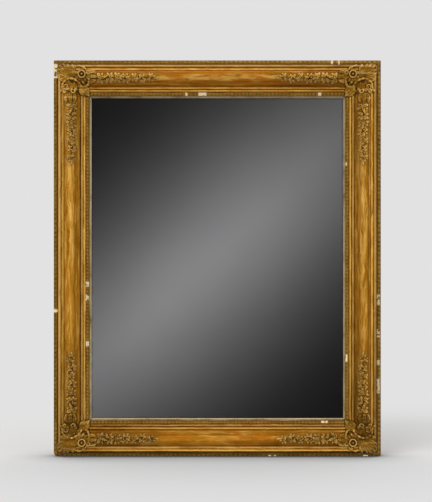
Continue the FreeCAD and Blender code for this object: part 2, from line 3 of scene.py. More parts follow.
import bmesh
import bpy
import numpy as np
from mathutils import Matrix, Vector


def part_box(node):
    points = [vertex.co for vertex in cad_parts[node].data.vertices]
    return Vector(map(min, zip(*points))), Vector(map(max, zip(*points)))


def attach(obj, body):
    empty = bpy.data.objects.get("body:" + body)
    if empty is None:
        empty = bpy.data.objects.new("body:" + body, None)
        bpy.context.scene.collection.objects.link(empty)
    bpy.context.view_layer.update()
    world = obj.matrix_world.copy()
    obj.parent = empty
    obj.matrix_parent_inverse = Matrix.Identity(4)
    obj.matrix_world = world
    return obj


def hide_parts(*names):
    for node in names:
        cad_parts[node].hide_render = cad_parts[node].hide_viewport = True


# Giltwood mirror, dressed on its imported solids. Ornament is drawn in millimetres for a moulding of the drawn
# face width, and scaled by the rail that the frame holds.

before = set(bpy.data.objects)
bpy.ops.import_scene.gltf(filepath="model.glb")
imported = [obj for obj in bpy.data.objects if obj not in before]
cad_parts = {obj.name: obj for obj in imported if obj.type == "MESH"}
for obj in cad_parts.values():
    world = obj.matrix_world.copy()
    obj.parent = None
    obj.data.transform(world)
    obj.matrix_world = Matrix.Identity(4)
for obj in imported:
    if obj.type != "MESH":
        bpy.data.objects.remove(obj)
scene = bpy.context.scene
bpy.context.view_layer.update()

# Measures taken from the frame
DRAWN_FACE = 99.4
rail_low, rail_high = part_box("rail_top")
upright_low, upright_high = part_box("rail_left")
MM = (rail_high.z - rail_low.z) / DRAWN_FACE
WIDTH = (rail_high.x - rail_low.x) / MM
HEIGHT = (upright_high.z - upright_low.z) / MM
BACK = rail_high.y
RUNS = {"top": WIDTH, "bottom": WIDTH, "left": HEIGHT, "right": HEIGHT}
SIDES = list(RUNS)
CORNERS = ["top_left", "top_right", "bottom_left", "bottom_right"]


def to_world(side, along, inwards, level):
    """Points on one side of the frame: along it from its middle, in from its outer edge, up from the back.
    The left side runs up, the top to the right, the right side down and the bottom to the left."""
    x, z = {
        "top": (along, HEIGHT - inwards),
        "bottom": (-along, inwards),
        "left": (inwards - WIDTH / 2, HEIGHT / 2 + along),
        "right": (WIDTH / 2 - inwards, HEIGHT / 2 - along),
    }[side]
    return np.stack(np.broadcast_arrays(x * MM, BACK - level * MM, z * MM), axis=-1)


# Numbers for handwork
LATTICE = 64


def noise(x, y, seed):
    """Smooth random heights from -1 to 1, with about one bump to each unit of x and of y."""
    lattice = np.random.default_rng(seed).uniform(-1, 1, (LATTICE, LATTICE))
    i, j = np.floor(x).astype(int), np.floor(y).astype(int)
    fx, fy = x - i, y - j
    fx, fy = fx * fx * (3 - 2 * fx), fy * fy * (3 - 2 * fy)

    def at(a, b):
        return lattice[a % LATTICE, b % LATTICE]

    low = at(i, j) * (1 - fx) + at(i + 1, j) * fx
    high = at(i, j + 1) * (1 - fx) + at(i + 1, j + 1) * fx
    return low * (1 - fy) + high * fy


def ripples(along, across, waves, seed):
    """Uneven heights. Each wave has a height, its lengths along and across, and its first seed."""
    total = 0
    for height, length, width, first_seed in waves:
        total = total + height * noise(along / length, across / width, first_seed + seed)
    return total


def bell(gap, reach):
    """1 where there is no gap, falling smoothly to almost 0 at twice the reach."""
    return np.exp(-((gap / reach) ** 2))


def blurred(field, reach):
    """A field averaged over a few cells each way."""
    for axis in (0, 1, 0, 1):
        pad = [(0, 0), (0, 0)]
        pad[axis] = (reach + 1, reach)
        total = np.cumsum(np.pad(field, pad, mode="edge"), axis=axis)
        size = field.shape[axis]
        span = 2 * reach + 1
        high = np.take(total, range(span, span + size), axis=axis)
        low = np.take(total, range(size), axis=axis)
        field = (high - low) / span
    return field


# Building pieces
def shade(mesh, crisp_angle):
    """Smooth shading, but for edges that turn by more than an angle in degrees."""
    mesh.polygons.foreach_set("use_smooth", [True] * len(mesh.polygons))
    mesh.set_sharp_from_angle(angle=math.radians(crisp_angle))
    mesh.update()


def store_wear_and_light(mesh, **layers):
    """Keep numbers for each vertex, or one for all of them, which the materials read by name."""
    for name, values in layers.items():
        layer = mesh.attributes.new(name, "FLOAT", "POINT")
        values = np.broadcast_to(np.ravel(values), len(mesh.vertices))
        layer.data.foreach_set("value", values.astype(np.float32))


def store_place(mesh, along, across, seed):
    """Keep where each vertex lies on its piece, in millimetres, for grain and streaks to follow."""
    layer = mesh.attributes.new("place", "FLOAT_VECTOR", "POINT")
    along, across, seed = np.broadcast_arrays(along, across, float(seed) * DRAWN_FACE)
    layer.data.foreach_set("vector", np.stack([along, across, seed], axis=-1).astype(np.float32).ravel())


def placed(name, data):
    """A new object in the scene."""
    thing = bpy.data.objects.new(name, data)
    scene.collection.objects.link(thing)
    return thing


def add_piece(name, mesh, materials, replaced):
    piece = placed(name, mesh)
    for material in materials:
        mesh.materials.append(material)
    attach(piece, "frame")
    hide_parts(replaced)


# how far each outer corner of the frame is knocked round, by its hand: left or right, then down or up
KNOCKED = {(-1, 1): 4, (1, 1): 4, (-1, -1): 15, (1, -1): 6}


def knocked_round(points):
    """Bring points that lie outside the rounded corners of the frame back onto them."""
    middle = np.array([0, HEIGHT / 2]) * MM
    half = np.array([WIDTH / 2, HEIGHT / 2]) * MM
    flat = points[:, [0, 2]]
    for hand, radius in KNOCKED.items():
        centre = middle + (half - radius * MM) * hand
        past = (flat - centre) * hand
        reach = np.hypot(past[:, 0], past[:, 1])
        outside = (past > 0).all(axis=1) & (reach > radius * MM)
        flat[outside] = centre + (flat[outside] - centre) * (radius * MM / reach[outside, None])
    points[:, [0, 2]] = flat
    return points


def swept_mesh(name, side, shares, inwards, level):
    """A closed length along one side. Each row of inwards and level is its outline at one share of the way
    from mitre to mitre, -1 to 1."""
    along = shares[:, None] * (RUNS[side] / 2 - inwards)
    points = knocked_round(to_world(side, along, inwards, level).reshape(-1, 3))
    rows, columns = inwards.shape
    corner = np.arange(rows * columns).reshape(rows, columns)
    ahead = np.roll(corner, -1, axis=1)
    quads = np.stack([corner[:-1], ahead[:-1], ahead[1:], corner[1:]], axis=-1).reshape(-1, 4)
    mesh = bpy.data.meshes.new(name)
    mesh.from_pydata(points.tolist(), [], quads.tolist() + [corner[0, ::-1].tolist(), corner[-1].tolist()])
    return mesh, along


# how far apart the outlines of a rail or slip lie
STATION = 4.0


def stations(side, outline):
    """Even shares of the way along a side, and the outline's points at each: how far in and how far along."""
    shares = np.linspace(-1, 1, int(RUNS[side] / STATION))
    inwards = np.repeat(outline[None, :, 0], len(shares), axis=0)
    return shares, inwards, shares[:, None] * (RUNS[side] / 2 - inwards)


# Materials
WHITE = (1.0, 1.0, 1.0)


class Nodes:
    """A tree of shader nodes. A value is a number, a colour or the output of another node."""

    def __init__(self, tree):
        self.tree = tree

    def feed(self, socket, value):
        if isinstance(value, bpy.types.NodeSocket):
            self.tree.links.new(value, socket)
        elif isinstance(value, tuple) and len(value) == 3 and socket.type == "RGBA":
            socket.default_value = (*value, 1)
        else:
            socket.default_value = value

    def node(self, kind, inputs, **settings):
        node = self.tree.nodes.new("ShaderNode" + kind)
        for name, value in settings.items():
            setattr(node, name, value)
        for key, value in inputs.items():
            self.feed(node.inputs[key], value)
        return node

    def attribute(self, name, output="Fac"):
        return self.node("Attribute", {}, attribute_name=name).outputs[output]

    def object_place(self):
        return self.node("TexCoord", {}).outputs["Object"]

    def split(self, vector):
        return self.node("SeparateXYZ", {"Vector": vector}).outputs

    def vector_math(self, operation, first, second):
        return self.node("VectorMath", {0: first, 1: second}, operation=operation).outputs["Vector"]

    def noise(self, vector, scale, detail, roughness):
        inputs = {"Vector": vector, "Scale": scale, "Detail": detail, "Roughness": roughness}
        return self.node("TexNoise", inputs).outputs["Fac"]

    def stretched_noise(self, vector, stretch, detail, roughness):
        return self.noise(self.vector_math("MULTIPLY", vector, stretch), 1.0, detail, roughness)

    def ramp(self, value, low, high, start=0.0, end=1.0):
        inputs = {"Value": value, "From Min": low, "From Max": high, "To Min": start, "To Max": end}
        return self.node("MapRange", inputs, interpolation_type="SMOOTHSTEP").outputs["Result"]

    def math(self, operation, first, second=0.0):
        return self.node("Math", {0: first, 1: second}, operation=operation).outputs["Value"]

    def add(self, first, second):
        return self.math("ADD", first, second)

    def times(self, first, second):
        return self.math("MULTIPLY", first, second)

    def mix(self, factor, first, second):
        # the places of a Mix node's colour sockets
        inputs = {0: factor, 6: first, 7: second}
        return self.node("Mix", inputs, data_type="RGBA").outputs[2]

    def bump(self, height, strength, distance):
        inputs = {"Height": height, "Strength": strength, "Distance": distance}
        return self.node("Bump", inputs).outputs["Normal"]


class Shader(Nodes):
    """The nodes of one material."""

    def __init__(self, name):
        self.material = bpy.data.materials.new(name)
        self.material.use_nodes = True
        super().__init__(self.material.node_tree)
        self.surface = self.tree.nodes["Principled BSDF"]

    def set(self, **values):
        for name, value in values.items():
            self.feed(self.surface.inputs[name.replace("_", " ")], value)

    def show(self, node):
        """Let another node than the plain surface be seen."""
        self.feed(self.tree.nodes["Material Output"].inputs["Surface"], node.outputs[0])


# how fine the patterns of the gilding are: along a piece, across it, and from piece to piece
DRIFT, STREAK = (0.018, 0.03, 1.0), (0.011, 0.13, 1.0)
CLOUD, BLOTCH = (0.014, 0.030, 1.0), (0.022, 0.10, 1.0)
SPECK, CRACK, STREAK_SWAY = 0.55, 0.11, 4.0
GESSO = (1.0, 0.82, 0.50)


def gilding(name, gold, deep, bright, bole, patina, dirt_and_shade, metallic, roughness):
    """Old leaf on bole and gesso: streaked along the piece, rubbed and painted lighter on the crests, and
    dirty and painted darker in the hollows.
    """
    shader = Shader(name)
    ramp, add, times, mix = shader.ramp, shader.add, shader.times, shader.mix
    place = shader.attribute("place", "Vector")
    crest = shader.attribute("crest")

    drift = shader.stretched_noise(place, DRIFT, 2.0, 0.5)
    sway = shader.node("CombineXYZ", {"Y": ramp(drift, 0.2, 0.8, -STREAK_SWAY, STREAK_SWAY)})
    flame = shader.vector_math("ADD", place, sway.outputs["Vector"])
    streak = shader.stretched_noise(flame, STREAK, 4.0, 0.6)
    cloud = shader.stretched_noise(place, CLOUD, 3.0, 0.6)
    blotch = shader.stretched_noise(place, BLOTCH, 3.0, 0.6)
    speck = shader.noise(place, SPECK, 4.0, 0.65)

    # the leaf in streaks, the bole that shows through it, and patina
    leaf = mix(ramp(streak, 0.37, 0.54), deep, gold)
    leaf = mix(ramp(streak, 0.53, 0.67), leaf, bright)
    leaf = mix(ramp(cloud, 0.48, 0.34, 0.0, 0.6), leaf, deep)
    shows = ramp(add(cloud, shader.attribute("warmth")), 0.52, 0.72)
    leaf = mix(times(shows, ramp(speck, 0.30, 0.60, 0.5, 0.9)), leaf, bole)
    leaf = mix(ramp(blotch, 0.52, 0.70, 0.0, 0.65), leaf, patina)

    # rubbed crests with painted highlight, grime and painted shade in the hollows, soot and painted shade, and
    # gesso where the leaf is lost
    rubbed_and_lit = ramp(add(crest, ramp(blotch, 0.25, 0.75, -0.30, 0.30)), 0.10, 0.80)
    leaf = mix(times(rubbed_and_lit, 0.9), leaf, bright)
    hollow = shader.math("SUBTRACT", ramp(cloud, 0.3, 0.7, -0.20, 0.20), crest)
    grime_and_shade = ramp(add(hollow, ramp(speck, 0.3, 0.7, -0.10, 0.10)), 0.08, 0.70)
    leaf = mix(grime_and_shade, leaf, dirt_and_shade)
    leaf = mix(times(shader.attribute("soot"), ramp(cloud, 0.3, 0.7, 0.75, 1.25)), leaf, dirt_and_shade)
    ragged = ramp(add(shader.attribute("chip"), ramp(speck, 0.2, 0.8, -0.25, 0.25)), 0.40, 0.55)
    leaf = mix(ragged, leaf, GESSO)

    dull = shader.math("MAXIMUM", times(grime_and_shade, 0.6), ragged)
    rough = ramp(blotch, 0.25, 0.75, roughness - 0.08, roughness + 0.10)
    cracks = shader.node("TexVoronoi", {"Vector": place, "Scale": CRACK}, feature="DISTANCE_TO_EDGE")
    grain = add(speck, ramp(cracks.outputs["Distance"], 0.0, 0.06, -0.35, 0.0))
    shader.set(
        Base_Color=leaf,
        Metallic=ramp(dull, 0.0, 1.0, metallic, 0.0),
        Roughness=add(rough, times(dull, 0.3)),
        Specular_IOR_Level=0.12,
        Normal=shader.bump(add(grain, times(blotch, 1.2)), 0.45, 0.5 * MM),
    )
    return shader.material


# how far the grain shifts from one board to the next
GRAIN_SHIFT = (7.3, 3.1, 5.7)
GREY_WOOD = (0.13, 0.09, 0.055)


def pine(name, place, stretch, pale, dark, shine, seed=0):
    """Softwood: rings and fibres drawn out along one way, and the grey tone of age."""
    shader = Shader(name)
    source = shader.attribute("place", "Vector") if place == "piece" else shader.object_place()
    apart = shader.vector_math("ADD", source, tuple(shift * seed for shift in GRAIN_SHIFT))
    along = shader.vector_math("MULTIPLY", apart, stretch)
    rings = shader.times(shader.noise(along, 1.0, 3.0, 0.5), 7.0)
    rings = shader.math("PINGPONG", rings, 0.5)
    fibre = shader.stretched_noise(along, (9.0, 9.0, 3.0), 3.0, 0.6)
    age = shader.noise(along, 0.55, 2.0, 0.5)
    wood = shader.mix(shader.ramp(rings, 0.12, 0.42), dark, pale)
    wood = shader.mix(shader.ramp(fibre, 0.42, 0.68, 0.0, 0.55), wood, dark)
    wood = shader.mix(shader.ramp(age, 0.42, 0.72, 0.0, 0.45), wood, GREY_WOOD)
    shader.set(
        Base_Color=wood,
        Roughness=shader.ramp(fibre, 0.3, 0.7, shine, shine + 0.2),
        Normal=shader.bump(shader.add(rings, fibre), 0.3, 0.4 * MM),
    )
    return shader.material


def old_metal(name, metal, reflected_slip, roughness):
    """Metal with patches of tarnish."""
    shader = Shader(name)
    place = shader.object_place()
    patch = shader.noise(place, 0.12 / MM, 4.0, 0.65)
    speck = shader.noise(place, 0.9 / MM, 2.0, 0.5)
    worn = shader.ramp(patch, 0.42, 0.66)
    shader.set(
        Base_Color=shader.mix(worn, metal, reflected_slip),
        Metallic=shader.ramp(worn, 0.0, 1.0, 1.0, 0.55),
        Roughness=shader.ramp(patch, 0.3, 0.7, roughness, roughness + 0.25),
        Normal=shader.bump(speck, 0.2, 0.2 * MM),
    )
    return shader.material


# the plate's tones, and the painted shade and painted reflection of the slips at its edge: where they are
# full, where they end, and how ragged that line is
SILVER_TONES, REFLECTED_SLIP_TONE = ((0.80, 0.80, 0.82), (0.84, 0.84, 0.85)), (0.36, 0.27, 0.17)
REFLECTED_SLIP_FULL, REFLECTED_SLIP_END, REFLECTED_SLIP_RAGGED = 9.5 * MM, 14.0 * MM, 1.5 * MM


def silvering(name, half_width, half_height, middle_z):
    """Old silvered plate: clear and faintly cloudy, with painted shade and a painted reflection of the slips
    where it meets them.
    """
    shader = Shader(name)
    place = shader.object_place()
    ways = shader.split(place)
    from_side = shader.math("SUBTRACT", half_width, shader.math("ABSOLUTE", ways["X"]))
    height = shader.math("SUBTRACT", ways["Z"], middle_z)
    from_end = shader.math("SUBTRACT", half_height, shader.math("ABSOLUTE", height))
    spots = shader.noise(place, 0.05 / MM, 4.0, 0.6)
    ragged = shader.ramp(spots, 0.3, 0.7, -REFLECTED_SLIP_RAGGED, REFLECTED_SLIP_RAGGED)
    rim = shader.add(shader.math("MINIMUM", from_side, from_end), ragged)
    reflected_slip = shader.ramp(rim, REFLECTED_SLIP_FULL, REFLECTED_SLIP_END, 0.45, 0.0)
    cloud = shader.noise(place, 0.004 / MM, 2.0, 0.5)
    silver = shader.mix(shader.ramp(cloud, 0.3, 0.7), *SILVER_TONES)
    shader.set(
        Base_Color=shader.mix(reflected_slip, silver, REFLECTED_SLIP_TONE),
        Metallic=1.0,
        Roughness=shader.ramp(cloud, 0.3, 0.7, 0.03, 0.045),
    )
    return shader.material


gilt_wood = gilding(
    "gilt_wood",
    gold=(0.46, 0.205, 0.016),
    deep=(0.29, 0.110, 0.004),
    bright=(0.70, 0.41, 0.095),
    bole=(0.43, 0.128, 0.004),
    patina=(0.36, 0.19, 0.020),
    dirt_and_shade=(0.110, 0.042, 0.002),
    metallic=0.85,
    roughness=0.42,
)
gilt_composition = gilding(
    "gilt_composition",
    gold=(0.30, 0.134, 0.008),
    deep=(0.19, 0.080, 0.004),
    bright=(0.64, 0.375, 0.095),
    bole=(0.23, 0.080, 0.003),
    patina=(0.24, 0.136, 0.020),
    dirt_and_shade=(0.060, 0.027, 0.0018),
    metallic=0.75,
    roughness=0.45,
)
gilt_border = gilding(
    "gilt_border",
    gold=(0.20, 0.102, 0.010),
    deep=(0.13, 0.063, 0.005),
    bright=(0.34, 0.190, 0.032),
    bole=(0.18, 0.068, 0.005),
    patina=(0.155, 0.098, 0.020),
    dirt_and_shade=(0.045, 0.022, 0.002),
    metallic=0.70,
    roughness=0.48,
)
gilt_slip = gilding(
    "gilt_slip",
    gold=(0.74, 0.58, 0.33),
    deep=(0.60, 0.45, 0.23),
    bright=(0.84, 0.69, 0.42),
    bole=(0.52, 0.35, 0.16),
    patina=(0.58, 0.47, 0.29),
    dirt_and_shade=(0.13, 0.07, 0.018),
    metallic=0.35,
    roughness=0.45,
)
BOARD_GRAIN = (0.030 / MM, 0.030 / MM, 0.0016 / MM)
WOOD_SHINE = 0.6
WASH_GRAIN, RAIL_GRAIN = (0.002, 0.05, 1.0), (0.002, 0.04, 1.0)
ochre_wash = pine("ochre_wash", "piece", WASH_GRAIN, (0.42, 0.26, 0.075), (0.33, 0.185, 0.045), WOOD_SHINE)
rail_pine = pine("rail_pine", "piece", RAIL_GRAIN, (0.47, 0.30, 0.15), (0.33, 0.185, 0.08), WOOD_SHINE)
board_tones = {
    "left": ((0.44, 0.28, 0.14), (0.30, 0.17, 0.075)),
    "middle": ((0.50, 0.33, 0.17), (0.35, 0.205, 0.095)),
    "right": ((0.42, 0.26, 0.125), (0.28, 0.155, 0.07)),
}
board_pine = {
    name: pine(f"board_pine_{name}", "object", BOARD_GRAIN, *tones, WOOD_SHINE, seed + 1)
    for seed, (name, tones) in enumerate(board_tones.items())
}
block_wood = pine("block_wood", "object", BOARD_GRAIN, (0.50, 0.35, 0.18), (0.38, 0.24, 0.11), WOOD_SHINE)
hanger_brass = old_metal("hanger_brass", (0.78, 0.55, 0.22), (0.34, 0.21, 0.08), 0.28)
old_iron = old_metal("old_iron", (0.36, 0.33, 0.31), (0.17, 0.08, 0.04), 0.40)

# The moulding
# each point: in from the outer edge, up from the back, and the swell of the arc to the next point, as a share
# of its chord
SIDE_INSET = 0.25
SIDE_TOP, BEAD_FOOT, SEAT_HIGH, SEAT_LOW, LIP, LEDGE = 44, 70, 40, 34, 28, 11
FRONT = [
    (SIDE_INSET, SIDE_TOP, 0),
    (10.5, SIDE_TOP, -0.12),
    (15, BEAD_FOOT, 0.5),
    (23, BEAD_FOOT, 0),
    (23, 68.5, 0),
    (24.4, 68.5, 0),
    (24.4, 71, 0),
    (30, 71, 0),
    (30, 67, 0.157),
    (60.96, 60, -0.047),
    (73, 49, 0),
    (73, 45, 0),
    (75, 45, 0),
    (75, 46, 0.5),
    (82.5, 46, 0),
    (82.5, 43.5, 0.5),
    (89, 43.5, 0),
    (89, SEAT_HIGH, 0),
    (90.4, SEAT_HIGH, 0),
    (DRAWN_FACE, SEAT_LOW, 0),
]
REBATE = [(DRAWN_FACE, LIP), (91, LIP), (91, LEDGE), (78, LEDGE), (78, 0)]
OUTER_FACE = [(SIDE_INSET, 0), (SIDE_INSET, SIDE_TOP / 2)]
ARC_STEP, STRAIGHT_STEP = 1.1, 1.9


def traced(corners):
    """Points along lines and arcs, close enough together to look smooth."""
    points = []
    for (u, v, swell), (next_u, next_v, _) in zip(corners, corners[1:]):
        length = math.hypot(next_u - u, next_v - v) * (1 + abs(swell))
        count = math.ceil(length / (ARC_STEP if swell else STRAIGHT_STEP))
        half_angle = 2 * math.atan(2 * swell)
        for step in np.arange(count) / count:
            across, rise = step, 0.0
            if swell:
                angle = half_angle * (2 * step - 1)
                across = 0.5 + 0.5 * math.sin(angle) / math.sin(half_angle)
                rise = 0.5 * (math.cos(angle) - math.cos(half_angle)) / math.sin(half_angle)
            run_u, run_v = next_u - u, next_v - v
            points.append((u + run_u * across - run_v * rise, v + run_v * across + run_u * rise))
    points.append(corners[-1][:2])
    return np.array(points)


# the height of the front at even steps inwards, and the same eased over some steps each way
RULER_END, RULER_STEP, EASED_STEPS = 106, 0.25, 9
front_line = traced(FRONT)
ruler = np.arange(0, RULER_END, RULER_STEP)
ruled_level = np.interp(ruler, front_line[:, 0], front_line[:, 1])
eased_level = blurred(ruled_level[None, :], EASED_STEPS)[0]


def level_at(inwards):
    """Height of the bare moulding."""
    return np.interp(inwards, ruler, ruled_level)


# Rails
rail_outline = np.vstack([OUTER_FACE, front_line, REBATE])
first_front, last_front = len(OUTER_FACE), len(OUTER_FACE) + len(front_line)
# how far round the outline each of its points lies
rail_walk = np.concatenate([[0], np.cumsum(np.hypot(*np.diff(rail_outline, axis=0).T))])
# the part of the front that the carver's hand and wear have left uneven
CARVED_FROM, CARVED_TO = 10.6, 90.3
carved = (rail_outline[:, 0] > CARVED_FROM) & (rail_outline[:, 0] < CARVED_TO)
carved[last_front:] = False
RAIL_WAVES = [(0.22, 70, 26, 10), (0.10, 12, 7, 20)]

# dents, and the lines of the moulding that they lie on
KNOCK_COUNT, KNOCK_SEED = 26, 40
KNOCK_LINES = [16.5, 19.0, 21.5, 28.0, 79.0, 86.0]
# how dirty a dent is, how far the gesso shows in it, and how deep it is before that shows
DENT_DIRT, DENT_CHIP, DENT_WHOLE, DENT_CHIP_MOST = 0.5, 1.1, 0.35, 0.6


def knocks(side, along, inwards):
    """Dents on the edges of a rail: how deep they are at each point."""
    draw = np.random.default_rng(KNOCK_SEED + SIDES.index(side))
    depth = np.zeros_like(along)
    for _ in range(KNOCK_COUNT):
        middle = draw.uniform(-0.47, 0.47) * RUNS[side]
        line = draw.choice(KNOCK_LINES)
        length = draw.uniform(2.0, 6.0)
        width = draw.uniform(1.2, 2.2)
        deepest = draw.uniform(0.3, 1.0)
        dent = bell(along - middle, length) * bell(inwards - line, width)
        depth = np.maximum(depth, deepest * dent)
    return depth


# the frieze of each side: its crown's rub and painted highlight where the side starts and ends, painted shade
# on the bottom, the wear and painted shade of the rest, where the crown's middle lies, how far it reaches, and
# how far it drifts inwards
FRIEZE_FROM, FRIEZE_TO = 31, 74
CROWNS = {
    "top": (0.45, 0.45, 0.02, 51, 9, 0),
    "left": (0.0, 0.46, -0.04, 49, 17, -10),
    "right": (0.60, 0.36, -0.12, 53, 13, 0),
    "bottom": (-0.10, -0.10, -0.05, 40, 14, 0),
}
CROWN_WAVES = [(3, 90, 1, 120)]
# how far an edge stands out where it is fully rubbed, and the least and the most wear of an edge
EDGE_RISE, EDGE_LEAST, EDGE_MOST = 1.3, -0.3, 0.72
# painted light in the hollow beside the outer border and between the inner beads, and painted light on the
# step down to the frieze, with painted shade there on the bottom
HOLLOW_END, HOLLOW_PAINTED_LIGHT, GROOVE_PAINTED_LIGHT = 15, 0.9, 0.30
STEP_FROM, STEP_LIGHT_AND_SHADE = 29.9, {"top": 0.60, "left": 0.20, "right": 0.40, "bottom": -0.3}


def crown_wear_and_light(side, along, inwards):
    """Wear and painted light of the broad frieze: rubbed and painted lighter along its crown, and darker
    beside it.
    """
    first_rub_and_light, last_rub_and_light, rest, middle, reach, drift = CROWNS[side]
    share = along / RUNS[side]
    wear_and_light = first_rub_and_light + (last_rub_and_light - first_rub_and_light) * (share + 0.5)
    sway = drift * share + ripples(along, 0 * along, CROWN_WAVES, SIDES.index(side))
    return wear_and_light * bell(inwards - middle - sway, reach) + rest


def rail_wear_and_light(side, along, inwards, level):
    """Wear and painted light of the moulding, by how far each point stands out from its surroundings."""
    wear_and_light = np.clip((level - np.interp(inwards, ruler, eased_level)) / EDGE_RISE, EDGE_LEAST, EDGE_MOST)
    step = (inwards > STEP_FROM) & (inwards < FRIEZE_FROM)
    frieze = (inwards > FRIEZE_FROM) & (inwards < FRIEZE_TO)
    wear_and_light = np.where(inwards < HOLLOW_END, np.maximum(wear_and_light, HOLLOW_PAINTED_LIGHT), wear_and_light)
    wear_and_light = np.where(inwards > FRIEZE_TO, np.maximum(wear_and_light, GROOVE_PAINTED_LIGHT), wear_and_light)
    wear_and_light = np.where(step, np.maximum(wear_and_light, STEP_LIGHT_AND_SHADE[side]), wear_and_light)
    return np.where(frieze, crown_wear_and_light(side, along, inwards), wear_and_light)


# how dark each side is by the corner where it starts and the one where it ends, and how far that reaches
RAIL_END_DARKENING = {"top": (0.0, 0.26), "left": (0.34, 0.12), "right": (0.12, 0.42), "bottom": (0.26, 0.36)}
END_DARKENING_REACH, RAIL_DARKEST = 260, 0.9
# bands along the moulding painted darker with dirt and painted shade: from, to, and how dark on the top, the
# bottom, the left and the right
BAND_EDGE = 1.5
DIRT_AND_SHADE_BANDS = {
    "outer bead, outer half": (15, 19, 0.42, 0.75, 0.05, 0.45),
    "outer bead, inner half": (19, 23, 0.38, 0.0, 0.20, 0.35),
    "fillet beside the frieze": (25, 30, 0.0, 0.05, 0.25, 0.0),
    "frieze, outer foot": (31, 34.5, 0.0, 0.60, 0.10, 0.0),
    "frieze, rise": (34.5, 40, 0.40, 0.50, 0.05, 0.60),
    "frieze, crown": (40, 56, 0.0, 0.40, 0.0, 0.0),
    "frieze, fall": (65.5, 69.5, 0.0, 0.25, 0.20, 0.28),
    "frieze, inner foot": (69.5, 73, 0.60, 0.25, 0.20, 0.45),
    "first inner bead, outer half": (75, 79, 0.50, 0.30, 0.85, 0.45),
    "first inner bead, inner half": (79, 82.5, 0.25, 0.25, 0.0, 0.35),
    "second inner bead": (82.5, 89, 0.20, 0.50, 0.0, 0.05),
}
# the stretch of the frieze that a spray lies on, the dirt and painted shadow round it, and how far that fades
# beyond it
SPRAY_START, SPRAY_LENGTH, SPRAY_MIDDLE, SPRAY_REACH = 124.9, 172, 51.5, 18
SPRAY_DIRT_AND_SHADOW, SPRAY_FADE = 0.16, 8


def band_dirt_and_shade(side, inwards):
    """How dark each line of the moulding is painted, with dirt and painted shade."""
    dirt_and_shade = np.zeros_like(inwards)
    for start, end, *amounts in DIRT_AND_SHADE_BANDS.values():
        inside = np.minimum(inwards - start, end - inwards)
        amount = amounts[SIDES.index(side)]
        dirt_and_shade = np.maximum(dirt_and_shade, amount * np.clip(inside / BAND_EDGE + 0.5, 0, 1))
    return dirt_and_shade


def under_spray(from_corner, inwards):
    """1 where a spray lies on the frieze, fading to 0 beyond it."""
    past_ends = np.abs(from_corner - SPRAY_START - SPRAY_LENGTH / 2) - SPRAY_LENGTH / 2
    past_sides = np.abs(inwards - SPRAY_MIDDLE) - SPRAY_REACH
    return np.clip(1 - np.maximum(past_ends, past_sides) / SPRAY_FADE, 0, 1)


def rail_soot(side, along, inwards):
    """Soot and painted shade of a rail: darker towards its corners, painted shadow round its sprays, and dirt
    and painted shade along its bands.
    """
    from_corner = RUNS[side] / 2 - np.abs(along)
    by_corner = np.where(along < 0, *RAIL_END_DARKENING[side])
    soot = by_corner * bell(from_corner, END_DARKENING_REACH) * carved
    # dirt and painted shadow on the frieze under and round each spray
    soot = soot + SPRAY_DIRT_AND_SHADOW * under_spray(from_corner, inwards)
    return np.clip(soot + band_dirt_and_shade(side, inwards) * carved, 0, RAIL_DARKEST)


RAIL_FINISHES = [gilt_wood, ochre_wash, rail_pine]
WARMTH = {"top": 0.18, "left": -0.05, "right": -0.06, "bottom": 0.14}


def rail_finishes(count):
    """Which finish each face has: gilding in front, a wash outside, bare wood behind and at the ends."""
    around = np.zeros(len(rail_outline), np.int32)
    around[:first_front] = 1
    around[last_front:] = 2
    ends = np.array([2, 2], np.int32)
    return np.concatenate([np.tile(around, count - 1), ends])


def rail(side):
    seed = SIDES.index(side)
    shares, inwards, along = stations(side, rail_outline)
    plain = rail_outline[None, :, 1]
    dents = knocks(side, along, inwards) * carved
    level = plain + (ripples(along, inwards, RAIL_WAVES, seed) - dents) * carved
    mesh, along = swept_mesh(f"gilded_rail_{side}", side, shares, inwards, level)
    store_place(mesh, along, rail_walk[None, :], seed)
    crest = np.clip(rail_wear_and_light(side, along, inwards, plain) * carved - dents * DENT_DIRT, -1, 1)
    chip = np.clip(dents * DENT_CHIP - DENT_WHOLE, 0, DENT_CHIP_MOST)
    store_wear_and_light(mesh, crest=crest, chip=chip, warmth=WARMTH[side], soot=rail_soot(side, along, inwards))
    mesh.polygons.foreach_set("material_index", rail_finishes(len(shares)))
    shade(mesh, crisp_angle=38)
    add_piece(f"gilded_rail_{side}", mesh, RAIL_FINISHES, f"rail_{side}")


for side in SIDES:
    rail(side)

# Running borders
# where gilding and gesso have come off: the start of each loss, as a share of the side from the top or left,
# and its length
OUTER_LOSSES = {
    "left": [(0.010, 40), (0.628, 9)],
    "top": [(0.846, 6), (0.868, 5)],
    "right": [(0.591, 30), (0.678, 24), (0.756, 14), (0.803, 42)],
    "bottom": [(0.656, 7), (0.673, 5), (0.945, 14)],
}
SIGHT_LOSSES = {
    "left": [(0.559, 14), (0.592, 17), (0.710, 14)],
    "top": [(0.402, 6), (0.442, 23), (0.809, 9)],
    "right": [(0.257, 9), (0.744, 20)],
    "bottom": [(0.819, 18)],
}
# the part of a border's width that its losses take, from 0 at the outer edge, where it isn't all
OUTER_LOST = {"right": (0.40, 1), "bottom": (0, 0.28)}
SIGHT_LOST = {"right": (0.40, 1), "bottom": (0.35, 1)}
# how soft the ends and the sides of a loss are, and how ragged it is
LOSS_END, LOSS_SIDE = 1.5, 6
LOSS_MEAN, LOSS_WAVES = 1.1, [(1.3, 5, 0.5, 30)]


